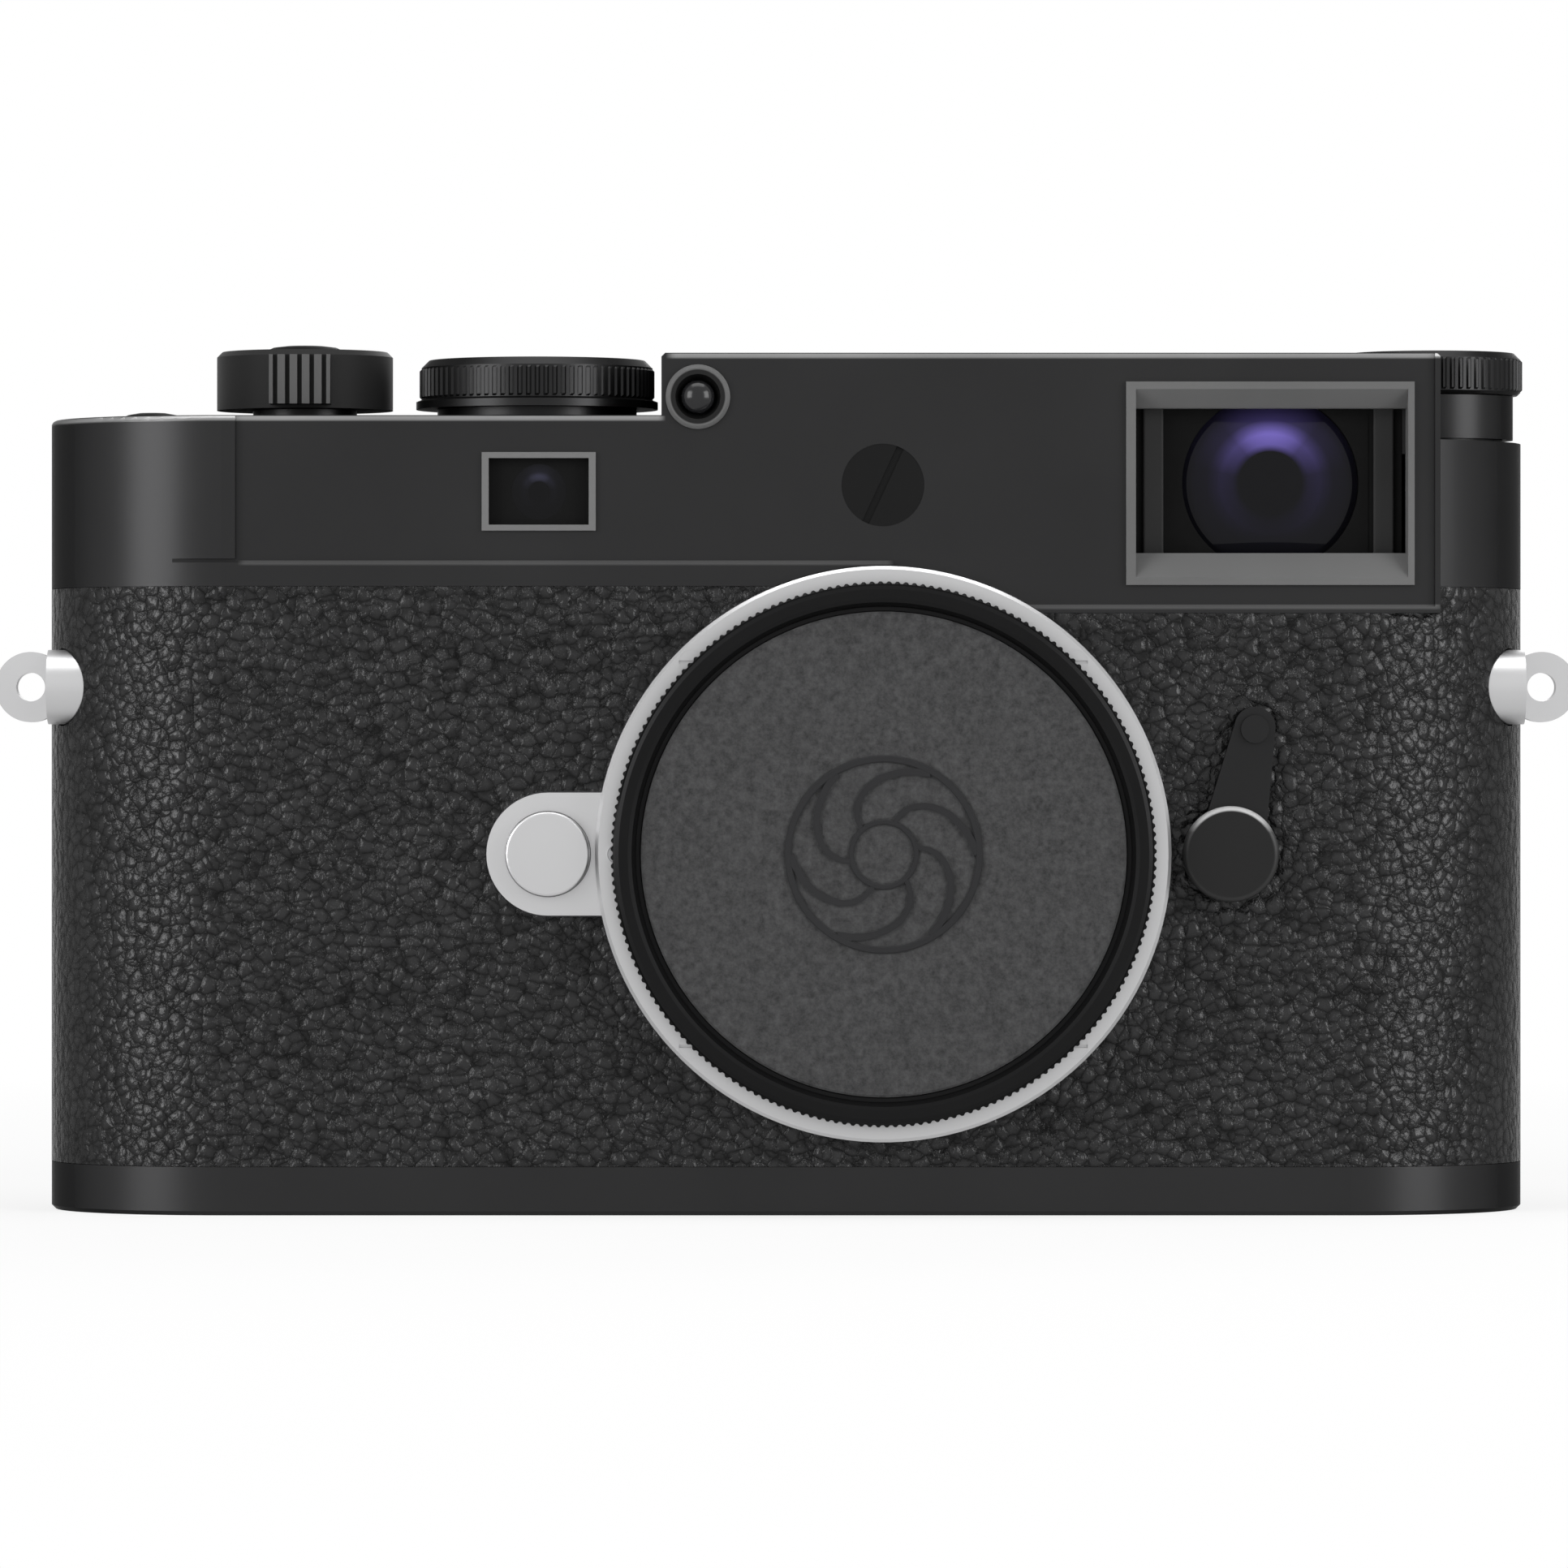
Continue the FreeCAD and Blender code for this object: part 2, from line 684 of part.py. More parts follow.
wheel_slot = rect(
    s.wheel_x - 5.7, s.wheel_x + 5.7, s.wheel_z - s.wheel_height / 2 - s.gap, s.wheel_z + s.wheel_height / 2 + s.gap
)
cover.pocket("Y", WHEEL_Y, BACK + 1, wheel_slot)
keep("top_cover", cover)

# Lens mount, release and cap. Their own Z axis points out of the front.
mount = Solid("mount_ring", "front", (s.lens_x, FLANGE, LENS_Z))
SEAT = -(FRONT - FLANGE) - s.leather - s.glue
mount.turn(outline((s.throat, SEAT), (s.flange_radius, SEAT), (s.flange_radius, 0), (s.throat, 0)))
mount.chamfer(0.3, level_ring(0, s.flange_radius))
guard_x = BUTTON_X - s.lens_x
GUARD_TOP = SEAT + s.guard_thick
mount.pad("Z", SEAT, GUARD_TOP, stadium(guard_x, guard_x + 8, 0, s.guard_radius))
mount.pocket("Z", SEAT, -s.tab_thick, circle(0, 0, s.lug_track))
mount.pocket("Z", SEAT, 1, circle(0, 0, s.throat))
mount.groove(
    outline((s.throat / 2, -3), (s.lug_track, -3), (s.lug_track, 1), (s.throat / 2, 1)), s.tab_gap_angle
)
mount.around(mount.body.Tip, 3)
mount.pocket("Z", SEAT, 1, circle(guard_x, 0, s.button_radius + s.running))
mount.pocket("Z", SEAT, 1, circle(-s.pin_reach, 0, s.pin_radius + s.running))
for across, up in SCREW_SPOTS:
    mount.pocket("Z", SEAT, 1, circle(SCREW_REACH * across, SCREW_REACH * up, s.screw_shank))
    mount.pocket("Z", -1.0, 1, circle(SCREW_REACH * across, SCREW_REACH * up, s.screw_head))
keep("mount_ring", mount)

spring = Solid("bayonet_spring", "front", (s.lens_x, FLANGE, LENS_Z))
spring.turn(
    outline(
        (s.throat + 0.3, SEAT),
        (s.lug_track - 0.1, SEAT),
        (s.lug_track - 0.1, SEAT + 0.3),
        (s.throat + 0.3, SEAT + 0.3),
    ),
)
keep("bayonet_spring", spring)


def screw(name, facing, at, head_radius, head_height, shank_radius, length):
    """A slotted screw: the head's top is at the given point, the shank runs back from it."""
    head = rod(f"{name}_head", facing, at, head_radius, head_height)
    shank = rod(f"{name}_shank", facing, at, shank_radius, length)
    return head, shank


mount_screws = []
for index, (across, up) in enumerate(SCREW_SPOTS):
    x = s.lens_x + SCREW_REACH * across
    z = LENS_Z + SCREW_REACH * up
    whole = union(
        f"mount_screw_{index}",
        screw(
            f"mount_screw_{index}", "back", (x, FLANGE + 0.05, z), s.screw_head, 0.95, s.screw_shank, 5.0
        ),
    )
    slot = block(
        f"mount_slot_{index}", (x - 1.2, x + 1.2), (FLANGE - 1, FLANGE + 0.4), (z - 0.15, z + 0.15)
    )
    mount_screws.append(minus(f"mount_screw_cut_{index}", whole, slot))
keep("mount_screws", union("mount_screws_group", mount_screws))

cap = Solid("body_cap", "front", (s.lens_x, FLANGE, LENS_Z))
CAP_FACE = s.cap_height - s.cap_recess
cap.turn(
    outline(
        (0, CAP_FACE - s.cap_wall),
        (s.cap_skirt - s.cap_wall, CAP_FACE - s.cap_wall),
        (s.cap_skirt - s.cap_wall, -s.cap_depth),
        (s.cap_skirt, -s.cap_depth),
        (s.cap_skirt, s.running),
        (s.cap_radius, s.running),
        (s.cap_radius, s.cap_height),
        (s.cap_disc, s.cap_height),
        (s.cap_disc, CAP_FACE - 0.35),
        (s.cap_disc - 0.45, CAP_FACE - 0.35),
        (s.cap_disc - 0.45, CAP_FACE),
        (0, CAP_FACE),
    )
)
cap.chamfer(0.35, level_ring(s.cap_height, s.cap_radius))
cap.chamfer(0.25, level_ring(s.running, s.cap_radius))
LUG_BACK = -s.tab_thick - s.loose - 1.2
cap.turn(
    outline(
        (s.cap_skirt - 0.4, LUG_BACK),
        (s.cap_lug_radius, LUG_BACK),
        (s.cap_lug_radius, LUG_BACK + 1.2),
        (s.cap_skirt - 0.4, LUG_BACK + 1.2),
    ),
    s.cap_lug_angle,
)
cap.around(cap.body.Tip, 3)
cap.pocket("Z", -1, 1.3, circle(-s.pin_reach, 0, s.pin_radius + s.gap))
keep("body_cap", cap)

button = Solid("release_button", "front", (BUTTON_X, FRONT, LENS_Z))
button.turn(
    outline(
        (0, 0.6),
        (s.button_radius, 0.6),
        (s.button_radius, s.button_height - 1.1),
        (0, s.button_height - 1.1),
    )
)
button.fillet(0.3, level_ring(s.button_height - 1.1, s.button_radius))
button.pad("Z", -3.0, 0.6, circle(0, 0, 1.9))
keep("release_button", button)

link = Solid("release_link")
link.pad("Y", FRONT + 3.0, FRONT + 3.8, rect(BUTTON_X - 2.2, PIN_X + 1.2, LENS_Z - 2, LENS_Z + 2))
link.fillet(0.8, crossing)
pin = rod("lock_pin_rod", "front", (PIN_X, FRONT + 3.0, LENS_Z), s.pin_radius, s.flange_proud + 4.0)
keep("lock_pin", union("lock_pin_and_link", [link.body, pin]))

# Frame selector lever
arm = Solid("frame_lever", "front", (LEVER_X, FRONT - 0.1, LENS_Z))
lean = FACING["front"] * Rotation(Vector(0, 0, 1), -SIZES["lever_lean"])
arm.body.Placement = Placement(arm.body.Placement.Base, lean)
arm.pad("Z", 0, 1.6, circle(0, 0, s.lever_hub - 0.35))
arm.pad(
    "Z",
    0,
    1.6,
    outline((-2.95, 2), (2.95, 2), (s.lever_tip, s.lever_arm), (-s.lever_tip, s.lever_arm)),
)
arm.pad("Z", 0, 1.6, circle(0, s.lever_arm, s.lever_tip))
arm.pad("Z", 1.6, 2.3, circle(0, s.lever_arm - 0.2, 1.3))
keep("frame_lever", arm)

arm.pocket("Z", 0, 1.6, circle(0, 0, s.lever_shaft))
hub = Solid("lever_cap", "front", (LEVER_X, FRONT - 1.7, LENS_Z))
hub.pad("Z", 0, 1.5, circle(0, 0, s.lever_hub))
hub.fillet(0.45, level_ring(1.5, s.lever_hub))
hub.pad("Z", -6.1, 0, circle(0, 0, s.lever_shaft))
hub.pad("Z", -5.5, -4.7, circle(0, 0, 3.2))
keep("lever_cap", hub)

# Top controls. Heights are above the shelf they stand on.
dial = Solid("shutter_dial", "up", (DIAL_X, s.control_y, s.shelf_height))
DIAL_TOP = s.dial_top - s.shelf_height
dial.turn(
    outline(
        (0, 0.2),
        (s.dial_radius - 1.6, 0.2),
        (s.dial_radius - 1.6, 1.0),
        (s.dial_radius + 0.4, 1.0),
        (s.dial_radius + 0.4, 1.7),
        (s.dial_radius - 0.1, 1.9),
        (s.dial_radius - 0.1, DIAL_TOP - 0.7),
        (s.dial_radius - 0.8, DIAL_TOP),
        (0, DIAL_TOP),
    )
)
dial.pad("Z", -5.6, 0.2, circle(0, 0, s.dial_shaft))
dial.pad("Z", -5.6, -4.8, circle(0, 0, 3.9))
keep("shutter_dial", dial)

encoder = Solid("dial_encoder", "up", (DIAL_X, s.control_y, s.shelf_height))
encoder.pad("Z", -4.3, -s.roof_wall, circle(0, 0, 6.8))
encoder.pocket("Z", -4.3, -s.roof_wall, circle(0, 0, s.dial_shaft + s.running))

bush = Solid("release_bush", "up", (RELEASE_X, s.control_y, s.shelf_height))
BUSH_IN = s.shutter_button_radius + s.running
bush.turn(
    outline(
        (2.05, -2.4),
        (6.4, -2.4),
        (6.4, -s.roof_wall),
        (s.bush_radius, -s.roof_wall),
        (s.bush_radius, 5.9),
        (BUSH_IN, 5.9),
        (BUSH_IN, 1.5),
        (2.05, 1.5),
    )
)
keep("release_bush", bush)

collar = Solid("power_switch", "up", (RELEASE_X, s.control_y, s.shelf_height))
COLLAR_TOP = s.collar_top - s.shelf_height
COLLAR_IN = s.bush_radius + s.running
collar.pad("Z", 0.9, COLLAR_TOP, circle(0, 0, s.collar_radius))
collar.chamfer(0.5, level_ring(COLLAR_TOP, s.collar_radius))
tab_side = s.tab_width / 2
TAB_FRONT = -s.collar_radius - 2.2
collar.pad("Z", 1.2, COLLAR_TOP - 0.6, rect(-tab_side, tab_side, TAB_FRONT, -s.collar_radius / 2))
for step in range(5):
    middle = (step - 2) * s.tab_width / 5
    collar.pocket(
        "Z",
        1.2,
        COLLAR_TOP - 0.6,
        rect(middle - 0.22, middle + 0.22, TAB_FRONT - 1, TAB_FRONT + 0.4),
    )
collar.pocket("Z", 0, COLLAR_TOP, circle(0, 0, COLLAR_IN))
keep("power_switch", collar)

press = Solid("shutter_button", "up", (RELEASE_X, s.control_y, s.shelf_height))
PRESS_TOP = s.shutter_button_top - s.shelf_height
press.turn(
    outline(
        (s.cable_thread, PRESS_TOP - s.cable_depth),
        (0, PRESS_TOP - s.cable_depth),
        (0, -1.9),
        (2.0, -1.9),
        (2.0, 3.0),
        (s.shutter_button_radius, 3.0),
        (s.shutter_button_radius, PRESS_TOP - 0.7),
        (s.shutter_button_radius - 1.2, PRESS_TOP - 0.15),
        (s.cable_thread + 0.5, PRESS_TOP),
        (s.cable_thread, PRESS_TOP - 0.3),
    )
)
keep("shutter_button", press)

function = Solid("function_button", "up", (FUNCTION_X, 0, s.shelf_height))
function.turn(
    outline(
        (0, -2.2),
        (3.8, -2.2),
        (3.8, -1.4),
        (s.function_radius, -1.4),
        (s.function_radius, 0.3),
        (s.function_radius - 0.7, 0.62),
        (s.function_radius - 1.7, 0.8),
        (0, 0.85),
    ),
)
keep("function_button", function)

iso_collar = Solid("iso_collar", "up", (s.iso_x, 0, s.iso_shelf))
ISO_SPLIT = s.iso_split - s.iso_shelf
STEM_HOLE = s.iso_stem + s.running
iso_collar.turn(
    outline(
        (STEM_HOLE, 0),
        (s.iso_collar - 1, 0),
        (s.iso_collar - 1, 0.4),
        (s.iso_collar, 0.4),
        (s.iso_collar, ISO_SPLIT),
        (STEM_HOLE, ISO_SPLIT),
    ),
)
keep("iso_collar", iso_collar)

stem = Solid("iso_stem", "up", (s.iso_x, 0, s.iso_shelf))
ISO_TOP = s.iso_top - s.iso_shelf
stem.pad("Z", -4.3, ISO_TOP - 1.1, circle(0, 0, s.iso_stem))
stem.pad("Z", -4.3, -3.4, circle(0, 0, s.iso_stem + 0.9))
keep("iso_stem", stem)

knob = Solid("iso_dial", "up", (s.iso_x, 0, s.iso_shelf))
knob.turn(
    outline(
        (STEM_HOLE, ISO_SPLIT + 0.1),
        (s.iso_radius - 0.3, ISO_SPLIT + 0.1),
        (s.iso_radius, ISO_SPLIT + 0.4),
        (s.iso_radius, ISO_TOP - 0.6),
        (s.iso_radius - 0.6, ISO_TOP),
        (0, ISO_TOP),
        (0, ISO_TOP - 1.0),
        (STEM_HOLE, ISO_TOP - 1.0),
    )
)
keep("iso_dial", knob)

control_board = Solid("control_plate")
BOARD_TOP = s.shelf_height - 4.3
control_board.pad("Z", BOARD_TOP - 1, BOARD_TOP, rect(FUNCTION_X - 3, DIAL_X + 10, -5.5, 4.2))
control_board.pad("Z", BOARD_TOP - 1, BOARD_TOP, rect(DIAL_X - 8, DIAL_X + 10, s.control_y - 7, 0))
control_board.pocket("Z", BOARD_TOP - 1, BOARD_TOP, circle(DIAL_X, s.control_y, 4.6))
switch_top = BOARD_TOP + 1.0
release_switch = block(
    "release_switch_body",
    (RELEASE_X - 2.4, RELEASE_X + 2.4),
    (s.control_y - 2.4, s.control_y + 2.4),
    (BOARD_TOP, switch_top - 0.4),
)
plunger = rod("release_switch_plunger", "up", (RELEASE_X, s.control_y, BOARD_TOP), 1.4, 1.0)
function_switch = block(
    "function_switch_body", (FUNCTION_X - 2, FUNCTION_X + 2), (-2, 2), (BOARD_TOP, BOARD_TOP + 1.2)
)

# Accessory shoe, let into the roof
shoe = Solid("hot_shoe", "up", (s.lens_x, 0, SHOE_FLOOR))
SHOE_TOP = s.roof_height - 0.1 - SHOE_FLOOR
shoe.pad("Z", 0, SHOE_TOP, rect(-SHOE_HALF + 0.05, SHOE_HALF - 0.05, s.shoe_front - 1.15, BACK - 0.1))
slot_half = s.shoe_slot / 2
shoe.pocket(
    "Z",
    s.shoe_plate,
    s.shoe_plate + s.shoe_slot_height,
    rect(-slot_half, slot_half, s.shoe_front, BACK + 1),
)
throat_half = s.shoe_throat / 2
shoe.pocket("Z", s.shoe_plate, FAR, rect(-throat_half, throat_half, s.shoe_front, BACK + 1))
keep("hot_shoe", shoe)
contact_y = (s.shoe_front + BACK) / 2
pads = [rod("contact_main", "up", (s.lens_x, contact_y, SHOE_FLOOR + s.shoe_plate), 1.3, 0.2)]
for index, (across, deep) in enumerate(((-3.4, 3.4), (0.0, 4.6), (3.4, 3.4), (3.4, -2.4))):
    at = (s.lens_x + across, contact_y + deep, SHOE_FLOOR + s.shoe_plate)
    pads.append(rod(f"contact_{index}", "up", at, 0.8, 0.2))
keep("hot_shoe_contacts", union("hot_shoe_contacts", pads))

# Finder window: a bevelled frame, the objective behind it and the mirror box
FRAME_FRONT = FRONT + 0.05
bezel = Solid("finder_bezel")
bezel.pad(
    "Y",
    FRAME_FRONT,
    FRONT + 4.0,
    rect(s.finder_left, s.finder_right, s.finder_foot, s.finder_head),
)
bezel.pocket(
    "Y",
    FRONT,
    FRONT + 4.0,
    rect(s.finder_left + 0.9, s.finder_right - 0.6, s.finder_foot + s.finder_sill, s.finder_head - 2.4),
)
low_bevel = outline(
    (FRAME_FRONT, s.finder_foot + 0.7),
    (FRAME_FRONT + 2.0, s.finder_foot + s.finder_sill),
    (FRAME_FRONT, s.finder_foot + s.finder_sill),
)
high_bevel = outline(
    (FRAME_FRONT, s.finder_head - 0.7),
    (FRAME_FRONT + 2.0, s.finder_head - 2.4),
    (FRAME_FRONT, s.finder_head - 2.4),
)
bezel.pocket("X", s.finder_left + 0.9, s.finder_right - 0.6, low_bevel)
bezel.pocket("X", s.finder_left + 0.9, s.finder_right - 0.6, high_bevel)
keep("finder_bezel", bezel)

objective = Solid("finder_glass", "front", (s.finder_x, GLASS_Y + 2.2, s.finder_z))
objective.turn(
    outline(
        (0, 0),
        (s.objective_radius, 0),
        (s.objective_radius, 1.0),
        (s.objective_radius * 0.6, 1.7),
        (0, 2.0),
    ),
)
keep("finder_glass", objective)
tunnel = Solid("finder_tunnel")
TUNNEL_BACK = GLASS_Y + 6
tunnel_left = s.finder_x - 11.7
tunnel_right = INNER_RIGHT - 0.4
tunnel_foot = s.finder_foot + 1.4
tunnel_head = s.finder_head - 0.6
tunnel.pad("Y", GLASS_Y, LENS_BACK, rect(tunnel_left, TUNNEL_SIDE, tunnel_foot, tunnel_head))
tunnel.pad("Y", LENS_BACK, TUNNEL_BACK, rect(tunnel_left, tunnel_right, tunnel_foot, tunnel_head))
tunnel.pocket("Y", GLASS_Y, LENS_BACK, circle(s.finder_x, s.finder_z, s.objective_radius + s.running))
tube = rect(tunnel_left + 1.2, tunnel_right - 1.2, tunnel_foot + 1.2, tunnel_head - 1.2)
tunnel.pocket("Y", LENS_BACK, TUNNEL_BACK, tube)

base_frame = Solid("finder_plate")
BASE_LOW = s.cover_foot
BASE_TOP = s.cover_foot + 1.2
base_frame.pad("Z", BASE_LOW, BASE_TOP, rect(-30, s.finder_left - 3, -COVER_IN + 0.1, COVER_IN - 0.1))
base_frame.pad(
    "Z",
    BASE_LOW,
    BASE_TOP,
    rect(s.finder_left - 4, HALF - 1.5, GLASS_Y + 0.2, COVER_IN - 0.1),
)
base_frame.pocket(
    "Z",
    BASE_LOW,
    BASE_TOP,
    rect(s.lens_x - 1.6, s.lens_x + 1.6, ARM_Y - 4.4, ARM_Y + 3.5),
)
for side in (-1, 1):
    near_x = s.lens_x + side * 1.3
    far_x = s.lens_x + side * 3.0
    low_x, high_x = (near_x, far_x) if side > 0 else (far_x, near_x)
    base_frame.pad("Z", BASE_LOW, s.arm_pivot_z + 2.0, rect(low_x, high_x, ARM_Y - 2, ARM_Y + 2))
base_frame.pocket("X", s.lens_x - 3, s.lens_x + 3, circle(ARM_Y, s.arm_pivot_z, 0.9))
keep("finder_base", union("finder_base_group", [base_frame.body, tunnel.body]))

prism = Solid("finder_prism")
prism.pad("Z", BASE_TOP, s.finder_head - 2.0, rect(tunnel_left, tunnel_right, TUNNEL_BACK + 0.2, 9.0))
mirror = Solid("range_mirror")
mirror_y = FRONT + 6.4
mirror_plan = outline(
    (s.range_x - 2.6, mirror_y + 2.6),
    (s.range_x + 2.6, mirror_y - 2.6),
    (s.range_x + 3.6, mirror_y - 1.6),
    (s.range_x - 1.6, mirror_y + 3.6),
)
mirror.pad("Z", BASE_TOP, BOARD_TOP - 1.6, mirror_plan)
keep("finder_prisms", union("finder_prism_pair", [prism.body, mirror.body]))

window = Solid("range_bezel")
window.pad("Y", FRONT + 0.25, FRONT + 3.0, range_hole)
window.pocket(
    "Y",
    FRONT,
    FRONT + 1.6,
    rect(
        s.range_x - range_half_w + 0.65,
        s.range_x + range_half_w - 0.65,
        s.range_z - range_half_h + 0.55,
        s.range_z + range_half_h - 0.55,
    ),
)
window.pocket("Y", FRONT, FRONT + 3.0, circle(s.range_x, s.range_z, 2.6))
keep("range_bezel", window)
keep("range_glass", rod("range_glass", "back", (s.range_x, FRONT + 1.7, s.range_z), 2.6, 1.0))

meter = Solid("meter_bezel", "front", (s.meter_x, FRONT, s.meter_z))
meter.turn(
    outline(
        (1.6, -2.6),
        (s.meter_radius, -2.6),
        (s.meter_radius, -0.2),
        (s.meter_radius - 0.3, 0),
        (2.1, 0),
        (1.6, -1.2),
    ),
)
keep("meter_bezel", meter)
eye = Solid("meter_lens", "front", (s.meter_x, FRONT, s.meter_z))
eye.turn(outline((0, -2.2), (1.6, -2.2), (1.6, -1.2), (1.1, -0.75), (0, -0.6)))
keep("meter_lens", eye)

cover_screw = Solid("front_screw", "front", (s.lens_x, MILLED + 0.8, s.screw_z))
cover_screw.body.Placement = Placement(
    cover_screw.body.Placement.Base, FACING["front"] * Rotation(Vector(0, 0, 1), -25)
)
cover_screw.pad("Z", 0, 0.75, circle(0, 0, s.screw_radius))
cover_screw.pocket("Z", 0.4, 1.5, rect(-0.35, 0.35, -5, 5))
keep("front_screw", cover_screw)

# Eyepiece
eyepiece = Solid("eyepiece_ring", "back", (s.eyepiece_x, COVER_IN - 0.6, s.finder_z))
EYE_OUT = s.cover_wall + 0.6
eyepiece.turn(
    outline(
        (s.eyepiece_bore, 0),
        (s.eyepiece_radius - 1.2, 0),
        (s.eyepiece_radius - 1.2, EYE_OUT),
        (s.eyepiece_radius, EYE_OUT),
        (s.eyepiece_radius, EYE_OUT + 1.2),
        (s.eyepiece_thread, EYE_OUT + 1.2),
        (s.eyepiece_thread, EYE_OUT - 1.2),
        (s.eyepiece_bore, EYE_OUT - 1.2),
    )
)
keep("eyepiece_ring", eyepiece)
keep(
    "eyepiece_lens",
    rod("eyepiece_lens", "back", (s.eyepiece_x, COVER_IN - 0.6, s.finder_z), s.eyepiece_bore, 1.1),
)

# Thumbwheel and its bracket
wheel = Solid("thumbwheel", "up", (s.wheel_x, WHEEL_Y, s.wheel_z))
half_wheel = s.wheel_height / 2
wheel.pad("Z", -half_wheel, half_wheel, circle(0, 0, s.wheel_radius - s.gap))
wheel.chamfer(0.3, level(half_wheel))
wheel.pad("Z", -half_wheel - 1.3, half_wheel + 1.3, circle(0, 0, 1.5))
keep("thumbwheel", wheel)
bracket = Solid("wheel_bracket", "up", (s.wheel_x, 0, s.wheel_z))
bracket.pad("Z", -half_wheel - 1.5, half_wheel + 1.5, rect(-4, 4, 4.4, WHEEL_Y + 2.1))
bracket.pocket("Z", -half_wheel - 0.3, half_wheel + 0.3, rect(-5, 5, 5.4, WHEEL_Y + 3))
bracket.pocket("Z", -half_wheel - 2, half_wheel + 2, circle(0, WHEEL_Y, 1.5 + s.running))
on_board = [control_board.body, encoder.body, release_switch, plunger, function_switch, bracket.body]
keep("control_board", union("control_board_group", on_board))

# Back: screen, keys and the rocker
keep(
    "lcd_glass",
    block(
        "lcd_glass",
        (s.screen_left + 0.1, s.screen_right - 0.1),
        (GLASS_BACK - s.glass_thick, GLASS_BACK),
        (s.screen_foot + 0.1, s.screen_head - 0.1),
    ),
)
keep(
    "lcd_panel",
    block(
        "lcd_panel",
        (s.screen_left + 2, s.screen_right - 2),
        (PANEL_Y - 2.4, PANEL_Y),
        (s.screen_foot + 2, s.screen_head - 2),
    ),
)
main_board = Solid("main_board")
main_board.pad(
    "Y",
    MAIN_Y - 1.0,
    MAIN_Y,
    rect(s.panel_left + 3, s.panel_right - 3, s.base_height + 4, s.cover_foot - 4),
)
main_board.pad("Y", MAIN_Y - 2.0, MAIN_Y - 1.0, rect(s.lens_x + 5, s.lens_x + 20, 20, 35))
keep("main_board", main_board)
for label, height in KEYS:
    key = Solid(label)
    left = s.keys_x - s.key_half
    right = s.keys_x + s.key_half
    key.pad("Y", MAIN_Y + s.key_travel + 0.2, BACK + 0.4, stadium(left, right, height, s.key_radius))
    key.pad("Y", SHELL - 1.0, SHELL - 0.1, stadium(left, right, height, s.key_radius + 0.6))
    keep(label, key)
pad_at = (s.keys_x, MAIN_Y, s.pad_z)
rocker = Solid("dpad_ring", "back", pad_at)
PAD_TOP = BACK - MAIN_Y
rocker.turn(
    outline(
        (3.4, 1.1),
        (s.pad_radius + 0.5, 1.1),
        (s.pad_radius + 0.5, 1.8),
        (s.pad_radius, 1.8),
        (s.pad_radius, PAD_TOP + 0.1),
        (s.pad_radius - 0.5, PAD_TOP + 0.4),
        (4.2, PAD_TOP + 0.2),
        (3.4, PAD_TOP),
    )
)
keep("dpad_ring", rocker)
centre = Solid("dpad_button", "back", pad_at)
centre.turn(
    outline((0, 0.6), (2.9, 0.6), (2.9, PAD_TOP + 0.3), (2.3, PAD_TOP + 0.5), (0, PAD_TOP + 0.5))
)
keep("dpad_button", centre)

# Base: battery, its bay and latch, tripod socket and port
battery = Solid("battery")
battery.pad(
    "Z",
    0,
    s.battery_top,
    rect(s.battery_left, s.battery_right, -s.battery_half, s.battery_half),
)
battery.fillet(s.battery_corner - 0.4, upright)
battery.pocket("Z", -1, 0.6, stadium(s.battery_left + 8, s.battery_right - 8, 0, 2.4))
keep("battery", battery)
bay = Solid("battery_bay")
out = s.bay_wall + s.gap
bay.pad(
    "Z",
    s.base_height,
    s.battery_top + 1.6,
    rect(s.battery_left - out, s.battery_right + out, -s.battery_half - out, s.battery_half + out),
)
bay.pocket("Z", s.base_height, s.battery_top + 0.6, battery_hole)
keep("battery_bay", bay)
latch = Solid("battery_lever", "up", (s.latch_x, 0, 0))
latch.pad("Z", 0.15, s.base_floor * 0.8 - 0.1, circle(0, 0, s.latch_well - 0.4))
latch.pad("Z", 0.15, s.base_floor + 2.3, circle(0, 0, 1.8))
latch.pad(
    "Z",
    s.base_floor + 0.3,
    s.base_floor + 2.1,
    rect(s.battery_right - s.latch_x + s.gap + 0.5, 0, -1.2, 1.2),
)
latch.pocket("Z", 0, 0.9, rect(-s.latch_well, -1.0, -4.2, -1.0))
latch.pocket("Z", 0, 0.9, rect(-s.latch_well, -1.0, 1.0, 4.2))
keep("battery_lever", latch)
socket = Solid("tripod_socket")
SOCKET_TOP = s.socket_depth + 1.2
socket.turn(
    outline(
        (s.socket_bore, 0),
        (s.socket_radius, 0),
        (s.socket_radius, s.base_floor),
        (s.socket_radius - 1, s.base_floor),
        (s.socket_radius - 1, SOCKET_TOP),
        (0, SOCKET_TOP),
        (0, s.socket_depth),
        (s.socket_bore, s.socket_depth),
    ),
)
keep("tripod_socket", socket)
port = Solid("usb_port")
port.pad("Z", 0.2, 7.0, stadium(s.port_x - s.port_half, s.port_x + s.port_half, 0, s.port_radius))
port.pocket("Z", 0, 6.2, stadium(s.port_x - s.port_half, s.port_x + s.port_half, 0, s.port_radius - 0.3))
port.pad("Z", 1.2, 6.4, rect(s.port_x - s.port_half, s.port_x + s.port_half, -0.3, 0.3))
keep("usb_port", port)
base_screws = []
